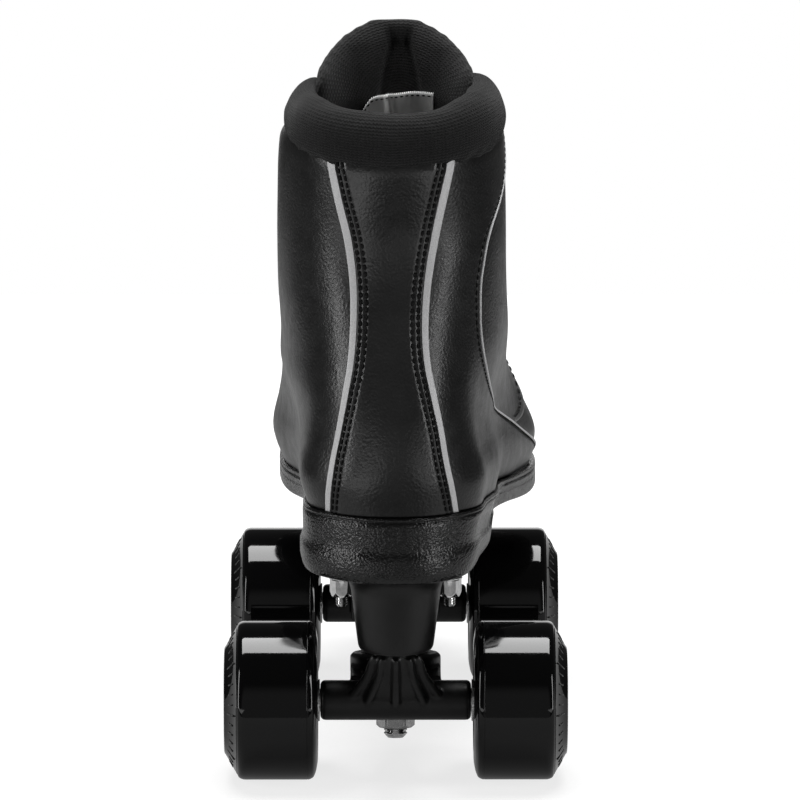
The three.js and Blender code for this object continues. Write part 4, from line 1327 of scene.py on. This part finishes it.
def hex_nut_geometry(flats, bore, low, high, chamfer=0.8, flange=None):
    """A nut whose corners are cut by a cone at both ends; flange is (radius, height) at the top."""
    sides = 120
    angles = np.arange(sides) * TAU / sides
    folded = np.mod(angles, TAU / 6) - TAU / 12
    hexagon = flats / 2 / np.cos(folded)
    corner = flats / math.sqrt(3)
    face_radius = flats / 2 * 0.97
    rings = []

    def plain(radius, height):
        rings.append(np.stack([radius * np.cos(angles), radius * np.sin(angles), np.full(sides, height)], -1))

    def add(height, cone, least=0.0):
        plain(np.minimum(np.maximum(hexagon, least), cone), height)

    plain(bore, low + 0.5)
    plain(bore + 0.5, low)
    add(low, face_radius)
    for k in range(5):
        add(low + chamfer * (k + 1) / 5, mix(face_radius, corner, (k + 1) / 5))
    if flange:
        add(high - flange[1] - 0.8, corner)
        add(high - flange[1] - 0.1, corner, flange[0] * 0.86)
        plain(flange[0] - 0.2, high - flange[1])
        plain(flange[0], high - flange[1] + 0.3)
        plain(flange[0], high - 0.3)
        plain(flange[0] - 0.3, high)
    else:
        for k in range(5):
            add(high - chamfer * (5 - k) / 5, mix(corner, face_radius, k / 5))
        add(high, face_radius)
    plain(bore + 0.5, high)
    plain(bore, high - 0.5)
    faces = grid_faces(len(rings), sides, close_rows=True, close_columns=True)
    return np.concatenate(rings), faces


def cut(piece, geometries):
    """Takes closed solids away from a piece."""
    for k, geometry in enumerate(geometries):
        cutter = mesh_object(f"cutter_{k}", *geometry)
        fix_normals(cutter)
        carve = piece.modifiers.new("carve", "BOOLEAN")
        carve.operation = "DIFFERENCE"
        carve.solver = "EXACT"
        carve.object = cutter
        applied(piece)
        bpy.data.objects.remove(cutter, do_unlink=True)
    return piece


def fused(name, geometries, voxel_mm, repeats):
    """Closed solids joined into one skin with small fillets where they meet."""
    piece = mesh_object(name, *joined(geometries))
    fix_normals(piece)
    remeshed(piece, voxel_mm)
    return smoothed(piece, 0.5, repeats)


# ---- Plate ----
# Half breadth and y, from the heel to the toe.
PLATE_EDGE = [(7, -101), (14, -100), (20, -97), (24, -90), (24.5, -80), (24.5, -72), (20, -58), (15, -42),
              (14, -10), (15, 18), (20, 34), (24.5, 44), (25.5, 68), (21, 84), (15, 96), (13, 118), (9, 123)]


def plate_outline():
    """The plate's edge as a closed smooth line."""
    right = [np.array(spot, float) for spot in PLATE_EDGE]
    line = smooth_path(right, 5)
    return np.concatenate([line, (line * [-1, 1])[::-1]])


def slab_geometry(outline, low, high):
    count = len(outline)
    points = [np.column_stack([outline, np.full(count, z)]) for z in (low, high)]
    faces = grid_faces(2, count, close_columns=True) + folded_cap(0, count) + folded_cap(count, count)
    return np.concatenate(points), faces


def mounting_places():
    places = []
    for name, axle_y in TRUCKS:
        inboard = 2 if axle_y < 0 else -2
        for word, side in (("right", 1), ("left", -1)):
            places.append((f"{name}_{word}", side * MOUNT_BOLT_X, axle_y + inboard))
    return places


def make_plate():
    solids = [slab_geometry(plate_outline(), PLATE_BOTTOM_Z, PLATE_TOP_Z)]
    under = PLATE_BOTTOM_Z - WHEEL_RADIUS
    bottom = TOWER_BOTTOM_Z - WHEEL_RADIUS
    cutters = []
    for _, axle_y in TRUCKS:
        frame_of = in_truck(axle_y)
        tower = [(0, bottom), (11.5, bottom), (12.3, bottom + 0.3), (12.7, bottom + 1.2), (13.1, bottom + 4),
                 (15.2, under - 1), (15.7, under + 1), (16.6, under + 2.7), (18.2, under + 4.1),
                 (20.2, under + 4.9), (20.2, under + 5), (0, under + 5)]
        boss = [(0, CUSHION_SEAT), (12.5, CUSHION_SEAT), (14.5, 33), (16, 38.5), (0, 38.5)]
        tower_place = frame_of @ Matrix.Translation((0, PIVOT_Y, 0))
        solids.append(moved(lathe_geometry(tower, 72), tower_place))
        solids.append(moved(lathe_geometry(boss, 72), on_kingpin(axle_y)))
        solids.append(moved(box_geometry((6, 34, 12), (0, 8, under - 5)), frame_of))
        cutters.append(moved(rod_geometry(9.3, bottom - 1, bottom + 12.3, 64, 0.01), tower_place))
        bore = rod_geometry(KINGPIN_RADIUS + 0.3, 0, KINGPIN_HEAD + 0.3, 48, 0.01)
        cutters.append(moved(bore, on_kingpin(axle_y)))
    solids.append(box_geometry((7, 150, 6), (0, (REAR_AXLE_Y + FRONT_AXLE_Y) / 2, PLATE_BOTTOM_Z - 2)))
    solids.append(moved(rod_geometry(12, 62, 74, 64), Matrix.Translation((0, TOE_STOP_Y, 0))))
    cutters.append(moved(rod_geometry(5.3, 55, 76, 48, 0.01), Matrix.Translation((0, TOE_STOP_Y, 0))))
    for _, x, y in mounting_places():
        cutters.append(moved(rod_geometry(2.3, 61, 76, 32, 0.01), Matrix.Translation((x, y, 0))))
    plate = fused("chassis_plate", solids, 0.75, 6)
    cut(plate, cutters)
    finish_piece(plate, NYLON, "boot", ["plate"])
    sharpen(plate, 50)


def make_mounting_bolts():
    for name, x, y in mounting_places():
        spot = Matrix.Translation((x, y, 0))
        top = float(sole_top(y - HEEL_BACK_Y)) - 0.4
        bolt = mesh_object(f"bolt_{name}", *moved(threaded_geometry(2, top, 59.3, 72, 0.8, 32, 0.3), spot))
        finish_piece(bolt, STEEL, "boot", [f"mounting_bolt_{name}"])
        nut = mesh_object(f"nut_{name}", *moved(hex_nut_geometry(7, 2.1, 62.9, 69.7, 1.6, (4.3, 1.0)), spot))
        finish_piece(nut, STEEL, "boot", [f"mounting_nut_{name}"])
        for piece in (bolt, nut):
            sharpen(piece)


def make_toe_stop():
    z = 30.0
    spot = Matrix.Translation((0, TOE_STOP_Y, 0))
    profile = rounded([(0, z), (18.3, z), (20.8, z + 3.6), (20.6, z + 8.8), (20.0, z + 9.3), (20.0, z + 9.9),
                       (20.5, z + 10.3), (20.3, z + 14), (17.8, z + 20), (11, z + 23), (10, z + 27),
                       (5.3, z + 27), (5.3, z + 9.1), (0, z + 9.1)], 1.2)
    stop = mesh_object("toe_stop_block", *moved(lathe_geometry(profile, 96), spot))
    finish_piece(stop, RUBBER, "boot", ["toe_stop"])
    shank = threaded_geometry(5, 74.7, 39.3, 74.0, 1.2, 48, 0.4)
    flange = hex_nut_geometry(15, 4.6, 57.3, 61.7, 0.9)
    bolt = mesh_object("toe_stop_stem", *moved(joined([shank, flange]), spot))
    finish_piece(bolt, STEEL, "boot", ["toe_stop_bolt"])
    sharpen(stop, 50)
    sharpen(bolt)


make_plate()
make_mounting_bolts()
make_toe_stop()


# ---- Trucks ----
ARM_SECTIONS = [
    # half width, half depth, y, z
    (4.6, 4.6, -14, 25), (4.9, 4.9, -14, 20.5), (8.2, 6.0, -12.8, 17.6), (9.9, 6.6, -9.8, 12),
    (13.6, 6.2, -4.8, 5.5), (17, 4.5, -1, 0)]
ARM_RIBS = 5


def arm_geometry():
    table = np.array(ARM_SECTIONS, float)
    rows, sides = 30, 48
    t = np.linspace(0, 1, rows)
    half_width, half_depth, y, z = (along(table[:, k], t) for k in range(4))
    angles = np.arange(sides) * TAU / sides
    grid = np.stack([half_width[:, None] * np.cos(angles), y[:, None] + half_depth[:, None] * np.sin(angles),
                     np.repeat(z[:, None], sides, 1)], -1)
    faces = grid_faces(rows, sides, close_columns=True)
    faces += end_faces(rows, sides)
    return grid.reshape(-1, 3), faces


def rib_geometry(k):
    """One of the flaring ribs down the arm's outer face."""
    table = np.array(ARM_SECTIONS, float)
    t = np.linspace(0.34, 0.97, 24)
    half_width, half_depth, y, z = (along(table[:, c], t) for c in range(4))
    angle = -math.pi / 2 + (k / (ARM_RIBS - 1) - 0.5) * math.radians(138)
    centres = np.stack([half_width * math.cos(angle) * 1.02, y + half_depth * math.sin(angle) * 1.06, z], -1)
    normals = np.tile([math.cos(angle) * 0.7, math.sin(angle), 0.25], (len(t), 1))
    points, faces = tube_geometry(centres, normals, ellipse(1.5, 1.5, 10))
    swell = mix(0.75, 1.15, np.repeat((t - t[0]) / (t[-1] - t[0]), 10))[:, None]
    middles = np.repeat(centres, 10, 0)
    return middles + (points - middles) * swell, faces


def make_hanger(name, axle_y):
    c = 1.0
    half = TUBE_HALF_LENGTH
    barrel = lathe_geometry([(0, -half), (TUBE_RADIUS - c, -half), (TUBE_RADIUS, -half + c),
                             (TUBE_RADIUS, half - c), (TUBE_RADIUS - c, half), (0, half)], 72)
    yoke = lathe_geometry([(0, -YOKE_HALF_HEIGHT), (YOKE_RADIUS - 1.2, -YOKE_HALF_HEIGHT),
                           (YOKE_RADIUS, -YOKE_HALF_HEIGHT + 1.2), (YOKE_RADIUS, YOKE_HALF_HEIGHT - 1.2),
                           (YOKE_RADIUS - 1.2, YOKE_HALF_HEIGHT), (0, YOKE_HALF_HEIGHT)], 84)
    tip = lathe_geometry([(5.1 * math.sin(a), -5.1 * math.cos(a)) for a in np.linspace(0, math.pi, 17)], 40)
    tip[0][:, 2] += PIVOT_Z
    tip[0][:, 1] += PIVOT_Y
    frame_of = in_truck(axle_y)
    kingpin = on_kingpin(axle_y)
    solids = [moved(moved(barrel, LAID_ALONG_X), frame_of), moved(arm_geometry(), frame_of),
              moved(tip, frame_of), moved(box_geometry((23, 11, 6.4), (0, 6.5, 3.6)), frame_of),
              moved(yoke, kingpin)]
    solids += [moved(box_geometry((3.4, 17, 9.5), (side * 13.7, 12.5, 2.6)), frame_of) for side in (1, -1)]
    solids += [moved(rib_geometry(k), frame_of) for k in range(ARM_RIBS)]
    hanger = fused(f"{name}_truck_hanger", solids, 0.55, 5)
    bores = [moved(rod_geometry(YOKE_BORE, -9, 9, 64, 0.01), kingpin),
             moved(moved(rod_geometry(AXLE_RADIUS + 0.15, -40, 40, 48, 0.01), LAID_ALONG_X), frame_of)]
    cut(hanger, bores)
    finish_piece(hanger, NYLON, f"{name}_truck", [f"{name}_hanger"])
    sharpen(hanger, 50)


def make_axle(name, axle_y):
    half = AXLE_HALF_LENGTH
    plain = 50.0
    depth, pitch = 0.4, 1.0
    right = [(0, 0), (AXLE_RADIUS, 0), (AXLE_RADIUS, plain)]
    right += thread_ridges(AXLE_RADIUS, depth, pitch, plain + 0.2, half - 0.6)
    right += [(AXLE_RADIUS - depth, half - 0.6), (AXLE_RADIUS - 1.0, half), (0, half)]
    profile = [(radius, -place) for radius, place in reversed(right[1:])] + right[1:]
    frame_of = in_truck(axle_y)
    rod = moved(moved(lathe_geometry(profile, 48), LAID_ALONG_X), frame_of)
    axle = mesh_object(f"{name}_truck_axle", *rod)
    finish_piece(axle, STEEL, f"{name}_truck", [f"{name}_axle"])
    spacers = []
    for side in (1, -1):
        ring_profile = [(4.15, 25.75), (7.0, 25.75), (7.2, 25.95), (7.2, 27.3), (7.0, 27.5), (4.15, 27.5)]
        ring_profile = [(radius, side * place) for radius, place in ring_profile]
        spacers.append(moved(moved(lathe_geometry(ring_profile, 60, closed=True), LAID_ALONG_X), frame_of))
    washers = mesh_object(f"{name}_truck_washers", *joined(spacers))
    finish_piece(washers, STEEL, f"{name}_truck")
    for piece in (axle, washers):
        sharpen(piece)


CUSHIONS = {"upper": (YOKE_HALF_HEIGHT + 0.3, CUSHION_SEAT - 0.3),
            "lower": (-YOKE_HALF_HEIGHT - 9.3, -YOKE_HALF_HEIGHT - 0.3)}
WASHER = (CUSHIONS["lower"][0] - 1.8, CUSHIONS["lower"][0] - 0.3)
KINGPIN_NUT = (WASHER[0] - 6.9, WASHER[0] - 0.3)


def make_cushions(name, axle_y):
    kingpin = on_kingpin(axle_y)
    for which, (low, high) in CUSHIONS.items():
        bore = KINGPIN_RADIUS + 0.3
        height = high - low
        wide = 11.8 if which == "upper" else 10.8
        profile = [(bore, low), (wide - 1.2, low), (wide - 0.4, low + 0.5), (wide, low + 1.5),
                   (wide - 0.1, low + height * 0.3), (wide - 0.8, low + height * 0.5),
                   (wide - 0.1, low + height * 0.7), (wide, high - 1.5), (wide - 0.4, high - 0.5),
                   (wide - 1.2, high), (bore, high)]
        geometry = moved(lathe_geometry(rounded(profile, 1.5), 72, closed=True), kingpin)
        cushion = mesh_object(f"{name}_{which}_bushing", *geometry)
        finish_piece(cushion, RUBBER, "boot", [f"{name}_{which}_cushion"])
        sharpen(cushion, 50)
        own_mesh(cushion)


def make_kingpin(name, axle_y):
    kingpin = on_kingpin(axle_y)
    pin = mesh_object(f"{name}_king_bolt", *moved(
        threaded_geometry(KINGPIN_RADIUS, KINGPIN_HEAD, KINGPIN_FOOT, -14, 1.25, 48, 0.9), kingpin))
    finish_piece(pin, STEEL, "boot", [f"{name}_kingpin"])
    nut = mesh_object(f"{name}_king_nut", *moved(hex_nut_geometry(11.4, 4.1, *KINGPIN_NUT, 0.9), kingpin))
    finish_piece(nut, DARK_STEEL, "boot", [f"{name}_kingpin_nut"])
    low, high = WASHER
    cup = [(4.3, low), (11.2, low), (11.5, low + 0.3), (11.5, high - 0.2), (11.3, high), (4.3, high)]
    washer = mesh_object(f"{name}_king_washer", *moved(lathe_geometry(cup, 72, closed=True), kingpin))
    finish_piece(washer, STEEL, "boot", [f"{name}_cushion_washer"])
    bottom = TOWER_BOTTOM_Z - WHEEL_RADIUS
    seat = [(9, bottom + 0.5), (9, bottom + 12), (0, bottom + 12), (0, bottom + 10.2), (6.6, bottom + 9.8),
            (7.2, bottom + 8.8), (7.2, bottom + 1.8), (8.0, bottom + 0.5)]
    seat_place = in_truck(axle_y) @ Matrix.Translation((0, PIVOT_Y, 0))
    rubber = mesh_object(f"{name}_pivot_seat", *moved(lathe_geometry(seat, 72, closed=True), seat_place))
    finish_piece(rubber, RUBBER, "boot", [f"{name}_pivot_cup"])
    for piece in (pin, nut, washer, rubber):
        sharpen(piece)


# ---- Wheels ----
BEVEL_START = (25.1, 27.7)
BEVEL_END = (18.5, 31.4)


def tyre_profile():
    """Inner shoulder, tread with its fine moulding line, outer shoulder, and a bevel to the outer face."""
    inside = rounded([(17.3, 0.15), (20.5, 0.15), (24.2, 0.8), (26.3, 1.7), (26.9, 3.0),
                      (WHEEL_RADIUS, 3.5)], 1.0)
    line = [(WHEEL_RADIUS, 3.6), (WHEEL_RADIUS - 0.12, 3.72), (WHEEL_RADIUS, 3.84), (WHEEL_RADIUS, 3.9)]
    # Points close to each end of the flat tread keep its shading flat.
    line += [(WHEEL_RADIUS, x) for x in (4.1, 4.6, 10, 18, 24.0, 24.45, 24.55)]
    shoulder = [(WHEEL_RADIUS - 1.5 * (1 - math.cos(a)), 24.6 + 2.7 * math.sin(a))
                for a in np.linspace(0, math.radians(80), 10)]
    edge = [(25.22, 27.5), BEVEL_START, (24.95, 27.72)]
    face = [BEVEL_END, (18.1, 31.75), (17.6, 31.9), (17.3, 31.5)]
    return inside + line + shoulder + edge + face


TICKS = 40


def tick_geometry():
    """A ring of plain raised marks round the bevel."""
    start, end = np.array(BEVEL_START), np.array(BEVEL_END)
    parts = []
    for k in range(TICKS):
        near, far = (0.22, 0.8) if k % 5 == 0 else (0.34, 0.68)
        low, high = mix(start, end, near), mix(start, end, far)
        slope = math.atan2(high[1] - low[1], low[0] - high[0])
        middle = (low + high) / 2
        size = (float(np.linalg.norm(high - low)), 0.55, 0.24)
        bar = moved(box_geometry(size, (0, 0, 0)), Matrix.Rotation(slope, 4, "Y"))
        bar = moved(bar, Matrix.Translation((middle[0], 0, middle[1])))
        parts.append(moved(bar, Matrix.Rotation(TAU * k / TICKS, 4, "Z")))
    return joined(parts)


HUB_SPOKES = 8


def hub_parts():
    """The core that carries both bearings, with ribs between its rim and its barrel on the outer face."""
    inner = BEARING_INNER_X - WHEEL_INNER_X
    outer = BEARING_OUTER_X - WHEEL_INNER_X
    seat = BEARING_RADIUS + 0.1
    end_in, end_out = inner - 0.3, 30.6
    core = [(seat, end_in), (16.7, end_in), (17.1, end_in + 0.4), (17.1, end_out - 0.4), (16.7, end_out),
            (15.6, end_out), (15.2, end_out - 0.4), (14.9, 25.2), (12.8, 25.0), (12.5, 28.4), (12.1, 28.8),
            (seat + 0.3, 28.8), (seat, 28.5), (seat, outer - 0.1), (8.5, outer - 0.1), (8.5, inner + 7.1),
            (seat, inner + 7.1)]
    parts = [lathe_geometry(core, 96, closed=True)]
    for k in range(HUB_SPOKES):
        rib = box_geometry((3.4, 1.5, 4.4), (13.8, 0, 26.8))
        parts.append(moved(rib, Matrix.Rotation(TAU * k / HUB_SPOKES, 4, "Z")))
    return joined(parts)


def bearing_parts():
    """Outer race, inner race and the recessed shield between them on both faces."""
    w = BEARING_WIDTH
    outer = [(9.2, 0), (10.7, 0), (11, 0.3), (11, w - 0.3), (10.7, w), (9.2, w), (9.0, w - 0.3), (9.0, 0.3)]
    inner = [(4.2, 0.2), (4.4, 0), (5.9, 0), (6.1, 0.3), (6.1, w - 0.3), (5.9, w), (4.4, w), (4.2, w - 0.2)]
    shield = [(6.2, 0.45), (9.1, 0.45), (9.1, w - 0.45), (6.2, w - 0.45)]
    races = joined([lathe_geometry(outer, 72, closed=True), lathe_geometry(inner, 60, closed=True)])
    return races, lathe_geometry(shield, 60, closed=True)


def make_wheel(name, side, axle_y):
    frame_of = Matrix.Translation((0, axle_y, WHEEL_RADIUS))
    if side < 0:
        frame_of = frame_of @ Matrix.Rotation(math.pi, 4, "Z")
    lie = frame_of @ LAID_ALONG_X
    body = f"{name}_wheel"

    def at(geometry, x):
        return moved(geometry, lie @ Matrix.Translation((0, 0, x)))

    ring = lathe_geometry(tyre_profile(), 144, closed=True)
    tyre = mesh_object(f"{name}_urethane", *at(ring, WHEEL_INNER_X))
    finish_piece(tyre, URETHANE, body, [f"{name}_tyre"])
    ticks = mesh_object(f"{name}_ticks", *at(tick_geometry(), WHEEL_INNER_X))
    finish_piece(ticks, MARK, body)
    hub = mesh_object(f"{name}_core", *at(hub_parts(), WHEEL_INNER_X))
    finish_piece(hub, HUB, body, [f"{name}_hub"])
    sharpen(hub)
    sharpen(tyre, 50)
    for word, x in (("inner", BEARING_INNER_X), ("outer", BEARING_OUTER_X)):
        races, shield = bearing_parts()
        race = mesh_object(f"{name}_{word}_races", *at(races, x))
        finish_piece(race, STEEL, body, [f"{name}_{word}_bearing"])
        cover = mesh_object(f"{name}_{word}_shield", *at(shield, x))
        finish_piece(cover, DARK_STEEL, body)
        sharpen(race)
        sharpen(cover)
    low = BEARING_OUTER_X + BEARING_WIDTH + 0.3
    nut = mesh_object(f"{name}_lock_nut", *at(hex_nut_geometry(13, 3.9, 0.0, 4.6, 0.9), low))
    truck = name.split("_")[0]
    finish_piece(nut, STEEL, f"{truck}_truck", [f"{name}_axle_nut"])
    sharpen(nut)


for truck_name, truck_axle_y in TRUCKS:
    make_hanger(truck_name, truck_axle_y)
    make_axle(truck_name, truck_axle_y)
    make_cushions(truck_name, truck_axle_y)
    make_kingpin(truck_name, truck_axle_y)
    for side_word, wheel_side in (("right", 1), ("left", -1)):
        make_wheel(f"{truck_name}_{side_word}", wheel_side, truck_axle_y)


# ---- Room ----
ROOM_STRENGTH = 0.045
FRONT_STRENGTH = 0.2
BEHIND_STRENGTH = 1.1
MIDDLE = (0, 0, 0.12)


def make_floor():
    """A strip of pale paper that runs away from the camera. It glows for the camera, so that it stays
    near white, and less in what the pieces reflect."""
    half_width, near, far = 0.46, -0.24, 0.8
    mesh = bpy.data.meshes.new("floor")
    corners = [(-half_width, near, 0), (half_width, near, 0), (half_width, far, 0), (-half_width, far, 0)]
    mesh.from_pydata(corners, [], [(0, 1, 2, 3)])
    floor = link("floor", mesh)
    s = Shader("floor_paper", (0.2, 0.2, 0.2), 0.9, Specular_IOR_Level=0.1)
    s.set("Emission Color", (1, 1, 1, 1))
    s.colours(s.ranged(s.noise(300, 3), 0, 1), (0.19, 0.19, 0.19), (0.21, 0.21, 0.21))
    away = s.node("ShaderNodeVectorMath", operation="LENGTH")
    s.join(s.place, away.inputs[0])
    seen = s.ranged(away.outputs["Value"], 0.78, 1.0, 0.16, 0.42)
    felt = 0.2
    straight = s.node("ShaderNodeLightPath").outputs["Is Camera Ray"]
    glow = s.maths("ADD", s.maths("MULTIPLY", s.maths("SUBTRACT", seen, felt), straight), felt)
    s.join(glow, s.bsdf.inputs["Emission Strength"])
    mesh.materials.append(s.material)


def softbox(name, place, target, size, power):
    light = bpy.data.lights.new(name, "AREA")
    light.shape = "RECTANGLE"
    light.size, light.size_y = size
    light.energy = power
    holder = link(name, light)
    holder.location = place
    holder.rotation_euler = (Vector(target) - Vector(place)).to_track_quat("-Z", "Y").to_euler()
    holder.visible_camera = False


def make_world():
    """White for the camera. What the pieces reflect is a dim room, paler in front and bright behind."""
    world = bpy.data.worlds.new("studio")
    bpy.context.scene.world = world
    world.use_nodes = True
    tree = world.node_tree
    tree.nodes.clear()

    def ramp(value, from_low, from_high, to_high):
        made = tree.nodes.new("ShaderNodeMapRange")
        made.interpolation_type = "SMOOTHSTEP"
        made.inputs["From Min"].default_value = from_low
        made.inputs["From Max"].default_value = from_high
        made.inputs["To Min"].default_value = 0.0
        made.inputs["To Max"].default_value = to_high
        tree.links.new(value, made.inputs["Value"])
        return made.outputs["Result"]

    def plus(a, b):
        made = tree.nodes.new("ShaderNodeMath")
        made.operation = "ADD"
        tree.links.new(a, made.inputs[0])
        if isinstance(b, float):
            made.inputs[1].default_value = b
        else:
            tree.links.new(b, made.inputs[1])
        return made.outputs[0]

    direction = tree.nodes.new("ShaderNodeTexCoord").outputs["Generated"]
    parts = tree.nodes.new("ShaderNodeSeparateXYZ")
    tree.links.new(direction, parts.inputs[0])
    behind = ramp(parts.outputs["Y"], 0.95, 0.998, BEHIND_STRENGTH)
    front = ramp(parts.outputs["Y"], -0.8, -0.95, FRONT_STRENGTH)
    seen = tree.nodes.new("ShaderNodeBackground")
    felt = tree.nodes.new("ShaderNodeBackground")
    tree.links.new(plus(plus(behind, front), ROOM_STRENGTH), felt.inputs["Strength"])
    path = tree.nodes.new("ShaderNodeLightPath")
    choose = tree.nodes.new("ShaderNodeMixShader")
    out = tree.nodes.new("ShaderNodeOutputWorld")
    for background in (seen, felt):
        background.inputs["Color"].default_value = (1, 1, 1, 1)
    seen.inputs["Strength"].default_value = 1.0
    tree.links.new(path.outputs["Is Camera Ray"], choose.inputs["Fac"])
    tree.links.new(felt.outputs[0], choose.inputs[1])
    tree.links.new(seen.outputs[0], choose.inputs[2])
    tree.links.new(choose.outputs[0], out.inputs["Surface"])


make_floor()
make_world()
softbox("overhead", (0, 0.185, 1.5), (0, 0.185, 0), (1.1, 0.81), 38)
softbox("side_left", (-1.27, -0.45, 0.42), MIDDLE, (0.22, 1.0), 8.0)
softbox("side_right", (1.18, -0.72, 0.42), MIDDLE, (0.22, 1.0), 7.0)
softbox("card_left", (-0.45, -0.85, 0.004), (-0.45, -0.85, 1), (0.6, 1.1), 4.6)
softbox("card_right", (0.5, -0.85, 0.004), (0.5, -0.85, 1), (0.6, 1.1), 3.9)
bpy.context.scene.view_settings.view_transform = "Standard"
